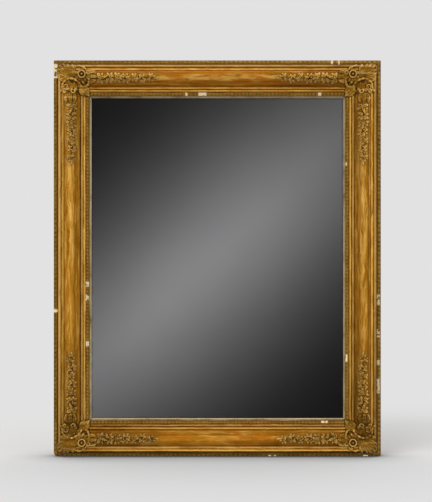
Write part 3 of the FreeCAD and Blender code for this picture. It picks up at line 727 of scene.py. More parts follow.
def losses(side, along, across, places, parts):
    """How much of the border is lost at each point, from 0 to 1. What is left there is ragged."""
    lost = np.zeros_like(along)
    run = RUNS[side]
    from_start = run / 2 + along if side in ("top", "right") else run / 2 - along
    for share, length in places[side]:
        inside = np.minimum(from_start - share * run, share * run + length - from_start)
        lost = np.maximum(lost, np.clip(inside / LOSS_END + 0.5, 0, 1))
    ragged = np.clip(LOSS_MEAN + ripples(along, across, LOSS_WAVES, 0), 0, 1)
    first, last = parts.get(side, (0, 1))
    return lost * ragged * np.clip(np.minimum(across - first, last - across) * LOSS_SIDE + 1, 0, 1)


# leaves and darts, as shares of their pitch
LEAF_HALF, LEAF_BLUNT, GROOVE_HALF, GROOVE_DEPTH = 0.41, 0.5, 0.06, 0.5
DART_HALF, DART_HEIGHT, DART_TAPER = 0.075, 0.7, 1.5


def leaf_spread(where, blunt):
    """How wide a leaf is on the way from its base to its tip, as a share of its greatest width."""
    return np.sin(math.pi * (0.14 + 0.76 * where)) ** blunt


def leaf_and_dart(pitches, across):
    """Height from 0 to 1 of a running border: a grooved leaf on each pitch and a dart between two leaves."""
    aside = np.abs((pitches + 0.5) % 1 - 0.5)
    half = LEAF_HALF * leaf_spread(across, LEAF_BLUNT)
    leaf = np.sqrt(np.clip(1 - (aside / half) ** 2, 0, 1))
    groove = bell(aside, GROOVE_HALF)
    dart = bell(0.5 - aside, DART_HALF) * np.clip(DART_TAPER * across, 0, 1)
    return np.maximum(leaf * (1 - GROOVE_DEPTH * groove), DART_HEIGHT * dart)


# how round a border is across, and the shares of its rise in its body, in its leaves and where it is lost
ROUND_TOP, BODY_SHARE, LEAF_SHARE, LOST_SHARE = 0.35, 0.55, 0.45, 0.25
TIRED_MEAN, TIRED_WAVES = 0.80, [(0.20, 17, 0.5, 50)]


def border_rise(side, along, across, pitch, lost):
    """How far a border stands out from its seat, as a share of its full rise."""
    leaf = leaf_and_dart(along / pitch, across)
    tired = TIRED_MEAN + ripples(along, across, TIRED_WAVES, SIDES.index(side))
    return (BODY_SHARE + LEAF_SHARE * leaf * tired) * (1 - lost) + LOST_SHARE * lost


# each border: where on the moulding it starts and ends, its rise, the pitch of its leaves, its cells across,
# its inner edge's rub and painted highlight, or below 0 its painted shade, and its losses
BORDERS = {
    "outer": ((0.5, SIDE_TOP), (12.2, 47), 6.0, 13.0, 15, 0.8, OUTER_LOSSES, OUTER_LOST),
    "sight": ((90.4, SEAT_HIGH), (DRAWN_FACE, SEAT_LOW), 3.6, 10.5, 13, -1, SIGHT_LOSSES, SIGHT_LOST),
}
CELLS_TO_PITCH, BORDER_FOOT, BORDER_SEED = 11, 0.6, 5
BORDER_BLUR, BORDER_CREST, EDGE_LIGHT_FROM = 3, 0.30, 0.78
# soot on each side's borders, with painted shade that makes the bottom ones darkest
BORDER_SOOT_AND_SHADE = {"top": 0.0, "left": 0.12, "right": 0.08, "bottom": 0.40}


def running_border(kind, side):
    """A strip of moulded leaves between two lines of the moulding, rubbed and painted lighter, or painted dark
    with shade, along its inner edge.
    """
    start, end, rise, pitch, cells, edge_light, places, parts = BORDERS[kind]
    start, end = np.array(start), np.array(end)
    run_u, run_v = end - start
    lean = np.array([-run_v, run_u]) / math.hypot(run_u, run_v)
    count = int(RUNS[side] / pitch * CELLS_TO_PITCH)
    shares = np.linspace(-1, 1, count)
    across = np.linspace(0, 1, cells)
    seat = start + (end - start) * across[:, None]
    along = shares[:, None] * (RUNS[side] / 2 - seat[:, 0])
    lost = losses(side, along, across[None, :], places, parts)
    round_top = (1 - (2 * across - 1) ** 2) ** ROUND_TOP
    stands = rise * round_top * border_rise(side, along, across[None, :], pitch, lost)
    top = seat + stands[:, :, None] * lean
    under = np.array([end, start]) - BORDER_FOOT * lean
    outline = np.concatenate([top, np.broadcast_to(under, (count, 2, 2))], axis=1)
    name = f"{kind}_leaves_{side}"
    mesh, along = swept_mesh(name, side, shares, outline[:, :, 0], outline[:, :, 1])
    crest = (stands - blurred(stands, BORDER_BLUR)) / (BORDER_CREST * rise)
    crest = np.clip(np.where(across > EDGE_LIGHT_FROM, np.maximum(crest, edge_light), crest), -1, 1)
    walk = np.concatenate([seat[:, 0], [end[0], start[0]]])
    store_place(mesh, along, walk[None, :], BORDER_SEED + SIDES.index(side))
    hidden = np.zeros((count, 2))
    crest, chip = np.hstack([crest, hidden]), np.hstack([lost, hidden])
    store_wear_and_light(mesh, crest=crest, chip=chip, warmth=0, soot=BORDER_SOOT_AND_SHADE[side])
    shade(mesh, crisp_angle=70)
    add_piece(name, mesh, [gilt_border], f"{kind}_border_{side}")


for side in SIDES:
    for kind in BORDERS:
        running_border(kind, side)

# Slips at the sight
SLIP_BACK, SLIP_EDGE, SLIP_FOOT = 91.8, 105, 19
slip_outline = np.array([
    (SLIP_BACK, LIP),
    (99.0, LIP),
    (99.6, 27.8),
    (101.5, 26.3),
    (103.4, 24.6),
    (104.7, 23.4),
    (SLIP_EDGE, 22.8),
    (SLIP_EDGE, SLIP_FOOT),
    (SLIP_BACK, SLIP_FOOT),
])
SLIP_BEVEL = range(2, 6)
SLIP_SEED, SLIP_WAVES = 60, [(0.14, 22, 3, 60)]
SLIP_WEAR, SLIP_RUB = 0.1, 3
# painted shade on the slips of each side at four lines, from the border to the glass
SLIP_LINES = (100.2, 102.0, 103.6, SLIP_EDGE)
SLIP_SHADE = {
    "top": (0.80, 0.45, 0.40, 0.85),
    "left": (0.90, 0.30, 0.0, 0.10),
    "right": (0.90, 0.40, 0.35, 0.85),
    "bottom": (0.95, 0.80, 0.25, 0.0),
}


def slip(side):
    seed = SIDES.index(side)
    shares, inwards, along = stations(side, slip_outline)
    bevel = np.isin(np.arange(len(slip_outline)), SLIP_BEVEL)
    wave = ripples(along, inwards, SLIP_WAVES, seed) * bevel
    mesh, along = swept_mesh(f"gilt_slip_{side}", side, shares, inwards, slip_outline[None, :, 1] + wave)
    store_place(mesh, along, inwards, SLIP_SEED + seed)
    crest = np.clip(wave * SLIP_RUB + SLIP_WEAR, -1, 1)
    soot = np.interp(inwards, SLIP_LINES, SLIP_SHADE[side])
    store_wear_and_light(mesh, crest=crest, chip=0, warmth=0, soot=soot)
    shade(mesh, crisp_angle=50)
    add_piece(f"gilt_slip_{side}", mesh, [gilt_slip], f"sight_slip_{side}")


for side in SIDES:
    slip(side)

# Carving in low relief
CELL = 0.75
# how steeply a form falls off beyond its edge, and the height where nothing is laid
STEEP, BURIED = 5.0, -40.0
CURVE_STEPS, SPIRAL_STEPS = 14, 60


def curve(*points):
    """Points along a smooth line through a few given ones."""
    points = np.array(points, float)
    ends = np.vstack([2 * points[0] - points[1], points, 2 * points[-1] - points[-2]])
    steps = np.linspace(0, 1, CURVE_STEPS, endpoint=False)[:, None]
    line = []
    for before, start, end, after in zip(ends, ends[1:], ends[2:], ends[3:]):
        pull = (end - before) / 2
        push = (after - start) / 2
        bend = 3 * (end - start) - 2 * pull - push
        turn = 2 * (start - end) + pull + push
        line.append(start + steps * (pull + steps * (bend + steps * turn)))
    return np.vstack(line + [points[-1:]])


def polar(centre, reach, way):
    """The point at a distance from a centre, in a direction given as an angle."""
    return centre[0] + reach * np.cos(way), centre[1] + reach * np.sin(way)


def spiral(centre, outer, inner, turns, start):
    """Points that wind in from the outer radius. Negative turns wind the other way."""
    share = np.linspace(0, 1, SPIRAL_STEPS)
    reach = outer + (inner - outer) * share
    return np.stack(polar(centre, reach, start + 2 * math.pi * turns * share), axis=-1)


def scallops(where, count):
    """Even bulges along a form, from 0 at each notch to 1."""
    return np.abs(np.sin(math.pi * count * where))


class Carving:
    """A relief on a grid of millimetres, built by laying one form over another and keeping the higher."""

    def __init__(self, along, across):
        self.along, self.across = np.meshgrid(along, across, indexing="ij")
        self.height = np.full(self.along.shape, BURIED)

    def lay(self, height, beyond, lift=0.0):
        """Lay a form, given its height inside its edge and how far beyond that edge each cell lies."""
        self.height = np.maximum(self.height, np.where(beyond < 0, height, lift - STEEP * beyond))

    def beside(self, line):
        """How far the line is from each cell, and where on it the nearest point lies, from 0 to 1."""
        gap = np.full(self.along.shape, np.inf)
        where = np.zeros(self.along.shape)
        for number, (x, y) in enumerate(line):
            distance = np.hypot(self.along - x, self.across - y)
            closer = distance < gap
            gap[closer] = distance[closer]
            where[closer] = number / (len(line) - 1)
        return gap, where

    def rod(self, line, thick, thin, lift, notches=0):
        """A round strap along a line, from its thick end to its thin one, leafy if it has notches."""
        gap, where = self.beside(line)
        radius = thick + (thin - thick) * where
        if notches:
            radius = radius * (0.84 + 0.22 * scallops(where, notches))
        inside = np.sqrt(np.clip(radius**2 - gap**2, 0, None))
        self.lay(inside + lift, gap - radius, lift)

    def leaf(self, base, bend, tip, width, rise, lobes):
        """A full leaf with scalloped edges, a grooved middle, a vein to each lobe and a curled tip."""
        gap, where = self.beside(curve(base, bend, tip))
        scalloped = 0.80 + 0.20 * scallops(where, lobes)
        half = np.maximum(width / 2 * leaf_spread(where, 0.75) * scalloped, 0.3)
        aside = gap / half
        veins = 0.85 + 0.15 * scallops(where - 0.15 * np.clip(aside, 0, 1), lobes)
        groove = 1 - 0.28 * bell(gap, 0.07 * width + 0.4)
        swell = rise * (0.60 + 0.40 * np.sin(math.pi * 0.85 * where))
        body = np.sqrt(np.clip(1 - aside**2, 0, 1)) * groove * veins
        self.lay(swell * body, gap - half)
        curl = 0.10 * width + 0.7
        self.dome(tip, (curl, curl), rise * 0.7)

    def dome(self, centre, radii, rise, turn=0.0):
        x, y = self.along - centre[0], self.across - centre[1]
        across = (x * math.cos(turn) + y * math.sin(turn)) / radii[0]
        up = (y * math.cos(turn) - x * math.sin(turn)) / radii[1]
        reach = np.hypot(across, up)
        self.lay(rise * np.sqrt(np.clip(1 - reach**2, 0, 1)), (reach - 1) * min(radii))

    def flower(self, centre, radius, rise, petals):
        """Cupped petals round a small boss."""
        x, y = self.along - centre[0], self.across - centre[1]
        reach = np.hypot(x, y)
        petal = np.abs(np.cos(petals / 2 * np.arctan2(y, x)))
        edge = radius * (0.66 + 0.34 * petal)
        cup = rise * (0.45 + 0.55 * petal) * np.sqrt(np.clip(1 - (reach / edge) ** 2, 0, 1))
        self.lay(cup, reach - edge)
        self.dome(centre, (0.30 * radius, 0.30 * radius), rise * 1.15)

    def ring(self, centre, radius, thickness, lift):
        self.rod(spiral(centre, radius, radius, 1, 0), thickness, thickness, lift)

    def bed(self, line, width, rise):
        """A thin ground that ties the forms together, thinning out at its edge."""
        gap = self.beside(line)[0]
        self.lay(rise * np.clip((width - gap) / 1.5, 0, 1), gap - width)


def carved_mesh(name, points, keep):
    """The cells of a grid of points that show, and the numbers of the points that they use."""
    rows, columns = keep.shape
    corner = np.arange(rows * columns).reshape(rows, columns)
    cells = keep[:-1, :-1] | keep[1:, :-1] | keep[:-1, 1:] | keep[1:, 1:]
    quads = np.stack([corner[:-1, :-1], corner[:-1, 1:], corner[1:, 1:], corner[1:, :-1]], axis=-1)[cells]
    used = np.unique(quads)
    renumber = np.zeros(rows * columns, int)
    renumber[used] = np.arange(len(used))
    mesh = bpy.data.meshes.new(name)
    mesh.from_pydata(points.reshape(-1, 3)[used].tolist(), [], renumber[quads].tolist())
    return mesh, used


def close_under(mesh, foot):
    """Carry the rim of a carved sheet down to a flat foot inside the wood and close it there."""
    body = bmesh.new()
    body.from_mesh(mesh)
    rim = [edge for edge in body.edges if edge.is_boundary]
    drawn = bmesh.ops.extrude_edge_only(body, edges=rim)["geom"]
    for item in drawn:
        if isinstance(item, bmesh.types.BMVert):
            item.co.y = foot
    lower = [item for item in drawn if isinstance(item, bmesh.types.BMEdge)]
    bmesh.ops.triangle_fill(body, use_beauty=False, use_dissolve=False, edges=lower)
    bmesh.ops.recalc_face_normals(body, faces=body.faces)
    body.to_mesh(mesh)
    body.free()


# how far below the wood the carving is kept, the dirt and painted shade at its foot, and how far up that ends
KEPT_BELOW, FOOT_DIRT_AND_SHADE, FOOT_END = -0.8, 0.6, 1.2
# how many cells round it a crest is measured against, its least wear, which is the darkest painted shade in a
# hollow, and how much of its soot and painted shade a crest sheds
CREST_BLUR, CREST_LEAST, CREST_CLEAN_AND_LIT = 6, -0.85, 0.5
# small chips: their size, how rare they are, and how far the gesso shows in them
CHIP_WAVES, CHIP_FROM, CHIP_GAIN = [(1, 5, 5, 90)], 0.86, 3


def carved_piece(name, replaced, points, height, above_wood, place, foot_level, wear_and_light, soot, seed):
    """Turn a carved grid into a piece. The height is that of the relief on its seat."""
    mesh, used = carved_mesh(name, points, above_wood > KEPT_BELOW)
    along, across = place
    solid = np.maximum(height, 0)
    # crests painted lighter and hollows darker, standing in for highlight and shade on the relief as well as
    # wear
    crest = np.clip(wear_and_light * (solid - blurred(solid, CREST_BLUR)), CREST_LEAST, 1)
    soot = soot * (1 - CREST_CLEAN_AND_LIT * np.clip(crest, 0, 1))
    clear = np.clip(above_wood / FOOT_END, 0, 1)
    crest = crest * clear - FOOT_DIRT_AND_SHADE * (1 - clear)
    chip = np.clip(ripples(along, across, CHIP_WAVES, seed) - CHIP_FROM, 0, 1) * CHIP_GAIN
    layers = {"crest": crest, "chip": chip, "soot": soot}
    store_place(mesh, along.ravel()[used], across.ravel()[used], seed)
    store_wear_and_light(mesh, warmth=0, **{layer: values.ravel()[used] for layer, values in layers.items()})
    close_under(mesh, BACK - foot_level * MM)
    shade(mesh, crisp_angle=75)
    add_piece(name, mesh, [gilt_composition], replaced)


# Corner ornament, drawn for the top left corner: in from the left edge, then in from the top
GROUND_LINES = [8, 13, 16, 22, 38, 61, 73, 82, 90, DRAWN_FACE, 112]
GROUND_LEVELS = [52, 67, 72.5, 73.6, 70.4, 61.8, 52, 48.6, 45, 38.6, 30]
MITRE_SOFT = 5.0
CORNER_FROM, CORNER_TO = 8, 130
# the swelling under the leaf that points to the glass
INNER_SWELL = (87, 87)
# leaves: base, bend and tip, then width, rise and lobes
CORNER_LEAVES = [
    ((62, 42), (58, 29), (55, 15), 15, 4.6, 2),
    ((44, 60), (31, 58), (18, 56), 15, 4.6, 2),
    ((74, 74), (87, 87), (99, 99), 19, 7.8, 3),
    ((92, 50), (107, 48), (122, 49), 16, 4.8, 3),
    ((94, 44), (107, 36), (120, 36), 14, 4.4, 3),
    ((92, 60), (106, 61), (118, 60), 15, 4.4, 3),
    ((50, 92), (49, 108), (50, 122), 16, 4.8, 3),
    ((43, 94), (37, 108), (38, 120), 14, 4.4, 3),
    ((59, 92), (61, 106), (61, 118), 15, 4.4, 3),
    ((80, 31), (86, 25), (90, 18), 12, 4.4, 2),
    ((31, 82), (25, 86), (18, 90), 12, 4.4, 2),
]
CORNER_BEDS = [
    ((28, 28), (54, 54), (76, 76)),
    ((54, 52), (84, 46), (110, 47)),
    ((52, 54), (47, 84), (49, 110)),
]
# scrolls: their line, thick end, thin end, lift and notches
SCROLL_EYE = (38, 77)
CORNER_SCROLLS = [
    (curve((88, 78), (98, 69), (101, 54), (97, 37), (87, 23), (71, 17)), 4.2, 3.0, 1.0, 9),
    (curve((80, 78), (73, 66), (58, 55), (42, 55), (30, 66), (27, 80), (33, 90)), 5.0, 3.4, 1.2, 9),
    (spiral(SCROLL_EYE, 8.6, 3.4, 1.2, 0.6), 2.8, 2.0, 3.2, 7),
    (spiral((56, 88), 6.6, 2.6, 1.1, -0.6), 2.6, 1.9, 3.0, 5),
]
# rings: middle, radius, thickness and lift
CORNER_RINGS = [((99, 37), 4.6, 2.2, 3.4), ((33, 90), 3.6, 2.0, 3.4)]
# berries: middle and radius
CORNER_BERRIES = [
    (84, 64, 5.4),
    (65, 83, 4.8),
    (97, 54, 3.4),
    (60, 66, 3.4),
    (67, 61, 3.0),
    (71, 56, 2.6),
    (105, 42, 2.6),
    (55, 73, 2.8),
]
BERRY_SWELL, BERRY_LIFT = 0.95, 1.0
ACANTHUS_MIDDLE, ACANTHUS_COUNT = (57, 58), 11
ACANTHUS_REACHES, ACANTHUS_TWIST = (7, 21, 35), (0, 0.10, 0.32)
SHELL_FOOT, SHELL_REACH, SHELL_COUNT = (56, 54), 51, 7
SHELL_WAY, SHELL_SPREAD, SHELL_ROUND = 1.25 * math.pi, 1.25, 0.22
ROSETTE = (81, 41)
ROSETTE_FAN, ROSETTE_COUNT, ROSETTE_REACHES = (0.1, 2.5), 6, (8, 17, 25)
ROSETTE_RING, ROSETTE_EDGE, ROSETTE_PIT = 9.6, 1.8, 3.0


def corner_ground(a, b):
    """The seat of the ornament: the moulding without its quirks, rounded over the mitre."""
    gap = np.clip(1 - np.abs(a - b) / MITRE_SOFT, 0, 1)
    inwards = np.minimum(a, b) - 0.25 * MITRE_SOFT * gap**2
    return np.interp(inwards, GROUND_LINES, GROUND_LEVELS)


def carve_acanthus(carving):
    """A whorl of low leaves under the scrolls, so that no bare moulding shows between them."""
    for angle in np.linspace(0, 2 * math.pi, ACANTHUS_COUNT, endpoint=False):
        ways = [angle + twist for twist in ACANTHUS_TWIST]
        line = [polar(ACANTHUS_MIDDLE, reach, way) for reach, way in zip(ACANTHUS_REACHES, ways)]
        carving.leaf(*line, width=15, rise=4.6, lobes=3)


def carve_shell(carving):
    """Flutes that fan out from under the scrolls to the outer corner, longest in the middle."""
    for turn in np.linspace(-SHELL_SPREAD, SHELL_SPREAD, SHELL_COUNT):
        way = SHELL_WAY + turn / 2
        reach = SHELL_REACH * (1 - SHELL_ROUND * turn**2)
        line = [polar(SHELL_FOOT, share * reach, way) for share in (0, 0.5, 1)]
        carving.leaf(*line, width=16, rise=5.0, lobes=1)


def carve_rosette(carving):
    """A ring round a dark groove and a small boss, and the leaves that fan out from under it."""
    for way in np.linspace(*ROSETTE_FAN, ROSETTE_COUNT):
        line = [polar(ROSETTE, reach, way) for reach in ROSETTE_REACHES]
        carving.leaf(*line, width=9, rise=5.0, lobes=1)
    around = np.hypot(carving.along - ROSETTE[0], carving.across - ROSETTE[1])
    cleared = np.minimum(carving.height, ROSETTE_PIT)
    cleared = np.where(around < ROSETTE_RING, ROSETTE_PIT, cleared)
    carving.height = np.where(around < ROSETTE_RING + ROSETTE_EDGE, cleared, carving.height)
    carving.ring(ROSETTE, ROSETTE_RING, thickness=2.2, lift=4.4)
    carving.dome(ROSETTE, radii=(3.8, 3.8), rise=6.4)


def carve_corner():
    grid = np.arange(CORNER_FROM, CORNER_TO, CELL)
    carving = Carving(grid, grid)
    for bed in CORNER_BEDS:
        carving.bed(curve(*bed), width=17, rise=1.6)
    carve_acanthus(carving)
    carve_shell(carving)
    carving.dome(INNER_SWELL, radii=(17, 16), rise=6.4, turn=math.pi / 4)
    for leaf in CORNER_LEAVES:
        carving.leaf(*leaf)
    for scroll in CORNER_SCROLLS:
        carving.rod(*scroll)
    carving.dome(SCROLL_EYE, radii=(3.4, 3.4), rise=5.6)
    for ring in CORNER_RINGS:
        carving.ring(*ring)
    for x, y, radius in CORNER_BERRIES:
        carving.dome((x, y), (radius, radius), radius * BERRY_SWELL + BERRY_LIFT)
    carve_rosette(carving)
    return carving


corner_carving = carve_corner()
CORNER_WAVES = [(0.25, 9, 9, 70), (0.12, 3, 3, 80)]
CORNER_SEED = 11
# soot on the corner ornaments, with painted shade that makes the bottom ones darker
CORNER_SOOT_AND_SHADE = {"top": 0.16, "bottom": 0.58}


def corner(name):
    number = CORNERS.index(name)
    upper, lefthand = name.startswith("top"), name.endswith("left")
    a, b = corner_carving.along, corner_carving.across
    height = corner_carving.height + ripples(a, b, CORNER_WAVES, number)
    level = corner_ground(a, b) + height
    above_wood = level - level_at(np.minimum(a, b))
    x = (a - WIDTH / 2) * (1 if lefthand else -1)
    z = HEIGHT - b if upper else b
    points = np.stack([x * MM, BACK - level * MM, z * MM], axis=-1)
    look = {"wear_and_light": 0.48, "soot": CORNER_SOOT_AND_SHADE["top" if upper else "bottom"], "seed": CORNER_SEED + number}
    node = f"corner_ornament_{name}"
    carved_piece(f"carved_corner_{name}", node, points, height, above_wood, (a, b), foot_level=31, **look)


for name in CORNERS:
    corner(name)

# Sprays, drawn from the corner outwards, then to each side of the middle of the frieze
SPRAY_HALF, SPRAY_MARGIN = 19.5, 2
STEM_SWAY, STEM_WAVE, STEM_SHORT, STEM_STEPS = 3.4, 56, 8, 90
CLUMP_COUNT, FIRST_CLUMP, CLUMP_STEP = 7, 7, 23.5
SPRAY_TAPER, SPRAY_SEED = 0.24, 7
# the leaves on each hand of a clump: how far they reach on, and how far out
CLUMP_LEAVES = [(18, 6), (10, 15), (-4, 14)]
CLUMP_BERRIES = [(0, 4.2), (4.4, -2), (-4.4, -2.8), (1, -6.6)]
LAST_LEAF = ((152, 0), (162, 1), (SPRAY_LENGTH, 0))


def stem_aside(x):
    return STEM_SWAY * np.sin(2 * math.pi * x / STEM_WAVE)


def carve_clump(carving, draw, x, slim, has_flower):
    """Six leaves of uneven size round a flower or a bunch of berries."""
    y = stem_aside(x)
    for hand in (-1, 1):
        for ahead, out in CLUMP_LEAVES:
            tip_x = x + ahead * slim + draw.uniform(-2.5, 2.5)
            tip_y = 0.4 * y + hand * out * slim + draw.uniform(-1.5, 1.5)
            bend_x = (x + tip_x) / 2 + draw.uniform(-1.5, 1.5)
            bend_y = (y + tip_y) / 2 + hand * draw.uniform(0, 1.5)
            width = draw.uniform(10.0, 14.5) * slim
            rise = draw.uniform(3.8, 6.4) * slim
            carving.leaf((x, y), (bend_x, bend_y), (tip_x, tip_y), width, rise, lobes=2)
    if has_flower:
        carving.flower((x + 1, y + draw.uniform(-2, 2)), radius=9 * slim, rise=5.6, petals=5)
        return
    for ahead, out in CLUMP_BERRIES:
        radius = draw.uniform(2.5, 3.5) * slim
        carving.dome((x + ahead, y + out), (radius, radius), rise=radius + 2.4)


def carve_spray():
    draw = np.random.default_rng(SPRAY_SEED)
    along = np.arange(-SPRAY_MARGIN, SPRAY_LENGTH + SPRAY_MARGIN + 1, CELL)
    carving = Carving(along, np.arange(-SPRAY_HALF, SPRAY_HALF + CELL / 2, CELL))
    walk = np.linspace(0, SPRAY_LENGTH - STEM_SHORT, STEM_STEPS)
    carving.rod(np.stack([walk, stem_aside(walk)], axis=-1), thick=2.2, thin=1.2, lift=0.8)
    for number in range(CLUMP_COUNT):
        x = FIRST_CLUMP + CLUMP_STEP * number
        carve_clump(carving, draw, x, 1 - SPRAY_TAPER * x / SPRAY_LENGTH, has_flower=number % 2 == 0)
    carving.leaf(*LAST_LEAF, width=9, rise=3.6, lobes=2)
    return carving


spray_carving = carve_spray()
SPRAY_WAVES = [(0.22, 8, 8, 100), (0.10, 2.5, 2.5, 110)]
FIRST_SPRAY_SEED = 21
# each spray's side, the end of the side that it starts from, and the soot and painted shade on its inner and
# outer halves
SPRAYS = {
    "spray_top_left": ("top", -1, 0.25, 0.05),
    "spray_top_right": ("top", 1, 0.42, 0.12),
    "spray_bottom_right": ("bottom", -1, 0.55, 0.80),
    "spray_bottom_left": ("bottom", 1, 0.68, 0.98),
    "spray_left_lower": ("left", -1, 0.52, 0.72),
    "spray_left_upper": ("left", 1, 0.45, 0.45),
    "spray_right_upper": ("right", -1, 0.25, 0.25),
    "spray_right_lower": ("right", 1, 0.52, 0.56),
}


def spray(node):
    side, end, inner_soot, outer_soot = SPRAYS[node]
    number = list(SPRAYS).index(node)
    x, aside = spray_carving.along, spray_carving.across
    height = spray_carving.height + ripples(x, aside, SPRAY_WAVES, number)
    inwards = SPRAY_MIDDLE + aside
    along = end * (RUNS[side] / 2 - SPRAY_START - x)
    points = to_world(side, along, inwards, level_at(inwards) + height)
    soot = inner_soot + (outer_soot - inner_soot) * np.clip(0.5 - aside / SPRAY_REACH, 0, 1)
    look = {"wear_and_light": 0.85, "soot": soot, "seed": FIRST_SPRAY_SEED + number}
    carved_piece(f"carved_{node}", node, points, height, height, (x, aside), foot_level=42, **look)


for node in SPRAYS:
    spray(node)


# Solids that keep their own shape
def dress(node, material):
    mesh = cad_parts[node].data
    mesh.materials.clear()
    mesh.materials.append(material)


def soften(node, width):
    """Ease the edges of a board, by a width in millimetres."""
    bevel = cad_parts[node].modifiers.new("eased edges", "BEVEL")
    bevel.width = width * MM
    bevel.segments = 2


glass_low, glass_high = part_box("mirror_glass")
glass_middle = (glass_low + glass_high) / 2
glass_half = (glass_high - glass_low) / 2
dress("mirror_glass", silvering("silvered_glass", glass_half.x, glass_half.z, glass_middle.z))
for name, material in board_pine.items():
    dress(f"backboard_{name}", material)
    soften(f"backboard_{name}", width=0.8)
for name in CORNERS:
    dress(f"mitre_key_{name}", block_wood)
dress("glazing_blocks", block_wood)
dress("backboard_nails", old_iron)
dress("hanger_screws", old_iron)
for hand in ("left", "right"):
    dress(f"hanger_strap_{hand}", hanger_brass)
    dress(f"hanger_ring_{hand}", hanger_brass)

# Camera, straight on, framed as the photograph is
# places and sizes in pixels of the photograph, and the distance in metres
PHOTO_HEIGHT = 502
PHOTO_MIDDLE = (216, 251)
MIRROR_PIXELS = 327.2
MIRROR_MIDDLE = (217.3, 258.3)
CAMERA_DISTANCE = 5.0
PIXEL = WIDTH * MM / MIRROR_PIXELS
camera = placed("camera", bpy.data.cameras.new("camera"))
camera.location = (
    (PHOTO_MIDDLE[0] - MIRROR_MIDDLE[0]) * PIXEL,
    BACK - SIDE_TOP * MM - CAMERA_DISTANCE,
    HEIGHT / 2 * MM + (MIRROR_MIDDLE[1] - PHOTO_MIDDLE[1]) * PIXEL,
)
camera.rotation_euler = (math.pi / 2, 0, 0)
camera.data.lens = camera.data.sensor_width * CAMERA_DISTANCE / (PHOTO_HEIGHT * PIXEL)
scene.camera = camera
scene.view_settings.view_transform = "Standard"
scene.cycles.caustics_reflective = False

# Studio: a pale floor that runs into a backdrop of the same tone, and a card for the plate to reflect
BACKDROP = 0.761
FLOOR_TONES, FLOOR_GLOW, FLOOR_REACH = (0.9108, 0.9292), 0.06, 60
# how far from the frame its contact shadow reaches
CONTACT_REACH = 0.16
# how far from the frame the floor begins to run into the backdrop, and where it has done so
FLOOR_FADE = (0.35, 2.2)
CORNER_SIGNS = [(-1, -1), (1, -1), (1, 1), (-1, 1)]


def stage_plane(name, corners, material):
    mesh = bpy.data.meshes.new(name)
    mesh.from_pydata(corners, [], [(0, 1, 2, 3)])
    mesh.materials.append(material)
    plane = placed(name, mesh)
    return plane


def floor_material():
    """Pale paper with a soft shadow close to the frame, which fades into the backdrop far from it."""
    shader = Shader("pale_floor")
    place = shader.object_place()
    paper = shader.noise(place, 9.0, 3.0, 0.5)
    pale = shader.mix(paper, *((tone, tone, tone) for tone in FLOOR_TONES))
    shaded = shader.node("AmbientOcclusion", {"Color": pale, "Distance": CONTACT_REACH})
    shader.set(
        Base_Color=shaded.outputs["Color"],
        Roughness=0.9,
        Specular_IOR_Level=0.0,
        Emission_Color=WHITE,
        Emission_Strength=FLOOR_GLOW,
    )
    away = shader.node("VectorMath", {0: place}, operation="LENGTH").outputs["Value"]
    even = shader.node("Emission", {"Color": WHITE, "Strength": BACKDROP})
    inputs = {0: shader.ramp(away, *FLOOR_FADE), 1: shader.surface.outputs[0], 2: even.outputs[0]}
    shader.show(shader.node("MixShader", inputs))
    return shader.material


floor_corners = [(FLOOR_REACH * x, FLOOR_REACH * y, 0) for x, y in CORNER_SIGNS]
floor = stage_plane("floor", floor_corners, floor_material())
floor.visible_glossy = False
floor.visible_diffuse = False

# the card, and the band of light on it: its slant, and its place and size in pixels of the photograph
CARD_DISTANCE = 7.0
CARD_WIDTH, CARD_HEIGHT = 2.6, 3.2
BAND_ANGLE = 0.828
BAND_OFFSET, BAND_SHIFT = -4.0, 25.8
BAND_WIDTH, BAND_LENGTH = 81.5, 262.0
BAND_POWER = 1.64
# the tones that the plate shows, and the share of light that its silver gives back
BAND_DARK, BAND_LIGHT = 0.0059, 0.2255
SILVER_SHARE = 0.82


def card_material(pixel):
    """The band of light that the plate shows: brightest along a slanting line, fading to both sides."""
    shader = Shader("reflected_band")
    add, times, math_node = shader.add, shader.times, shader.math
    ways = shader.split(shader.object_place())
    x, z = ways["X"], ways["Z"]
    slope_x, slope_z = math.cos(BAND_ANGLE) / pixel, math.sin(BAND_ANGLE) / pixel
    aside = math_node("SUBTRACT", times(x, slope_x), times(z, slope_z))
    aside = math_node("DIVIDE", math_node("SUBTRACT", aside, BAND_OFFSET), BAND_WIDTH)
    along = add(times(x, slope_z), times(z, slope_x))
    along = math_node("DIVIDE", add(along, BAND_SHIFT), BAND_LENGTH)
    fade = add(math_node("POWER", math_node("ABSOLUTE", aside), BAND_POWER), times(along, along))
    light = math_node("DIVIDE", BAND_LIGHT / SILVER_SHARE, math_node("EXPONENT", fade))
    strength = add(light, BAND_DARK / SILVER_SHARE)
    shader.show(shader.node("Emission", {"Color": WHITE, "Strength": strength}))
    shader.material.cycles.emission_sampling = "NONE"
    return shader.material


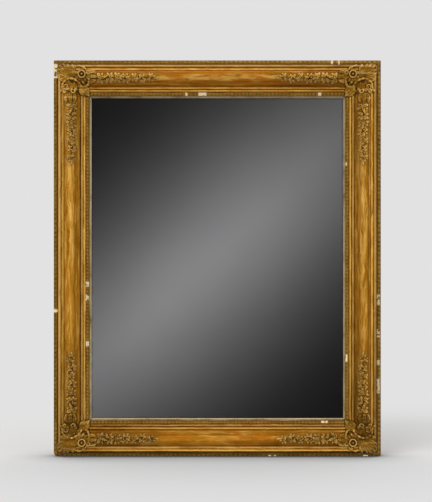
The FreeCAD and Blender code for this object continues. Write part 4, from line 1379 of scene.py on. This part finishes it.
to_glass = glass_low.y - camera.location.y
to_card = glass_low.y + CARD_DISTANCE
card_middle = glass_middle + (glass_middle - camera.location) * (to_card / to_glass)
card_pixel = PIXEL * (1 + to_card / to_glass)
card_corners = [(CARD_WIDTH / 2 * x, 0, CARD_HEIGHT / 2 * z) for x, z in CORNER_SIGNS]
card = stage_plane("reflected_card", card_corners, card_material(card_pixel))
card.location = (card_middle.x, -CARD_DISTANCE, card_middle.z)
card.visible_camera = False
card.visible_diffuse = False
card.visible_shadow = False


# Lamps: one from the left that casts the soft shadow, and one from the right that the gilding glints with
def soft_lamp(name, energy, softness, tilt, turn):
    lamp = placed(name, bpy.data.lights.new(name, "SUN"))
    lamp.data.energy = energy
    lamp.data.angle = math.radians(softness)
    lamp.rotation_euler = (math.radians(tilt), 0, math.radians(turn))
    return lamp


shadow_lamp = soft_lamp("shadow_lamp", energy=1.1, softness=35, tilt=60, turn=-30)
shadow_lamp.visible_glossy = False
glint_lamp = soft_lamp("glint_lamp", energy=0.9, softness=35, tilt=55, turn=25)
glint_lamp.visible_diffuse = False

# World: the backdrop to the camera, an even fill to matt surfaces, and a brighter studio to glossy ones
FILL = 0.60
# what glossy surfaces meet: an even tone, more in front and above, less below, and more to the sides
GLOSS_EVEN, GLOSS_FRONT, GLOSS_ABOVE, GLOSS_BELOW, GLOSS_ASIDE = 0.42, 0.66, 0.42, 0.12, 0.22


def studio_world():
    world = bpy.data.worlds.new("studio")
    world.use_nodes = True
    world.cycles.sampling_method = "NONE"
    nodes = Nodes(world.node_tree)
    ways = nodes.split(nodes.node("TexCoord", {}).outputs["Generated"])
    above = nodes.times(nodes.math("MAXIMUM", ways["Z"], 0.0), GLOSS_ABOVE)
    below = nodes.times(nodes.math("MINIMUM", ways["Z"], 0.0), GLOSS_BELOW)
    front = nodes.times(nodes.math("MINIMUM", ways["Y"], 0.0), -GLOSS_FRONT)
    aside = nodes.times(nodes.math("ABSOLUTE", ways["X"]), GLOSS_ASIDE)
    gloss = nodes.add(nodes.add(above, below), nodes.add(front, GLOSS_EVEN))
    path = nodes.node("LightPath", {}).outputs
    seen = nodes.mix(path["Is Glossy Ray"], (FILL,) * 3, nodes.add(gloss, aside))
    seen = nodes.mix(path["Is Camera Ray"], seen, (BACKDROP,) * 3)
    nodes.feed(nodes.tree.nodes["Background"].inputs["Color"], seen)
    return world


scene.world = studio_world()
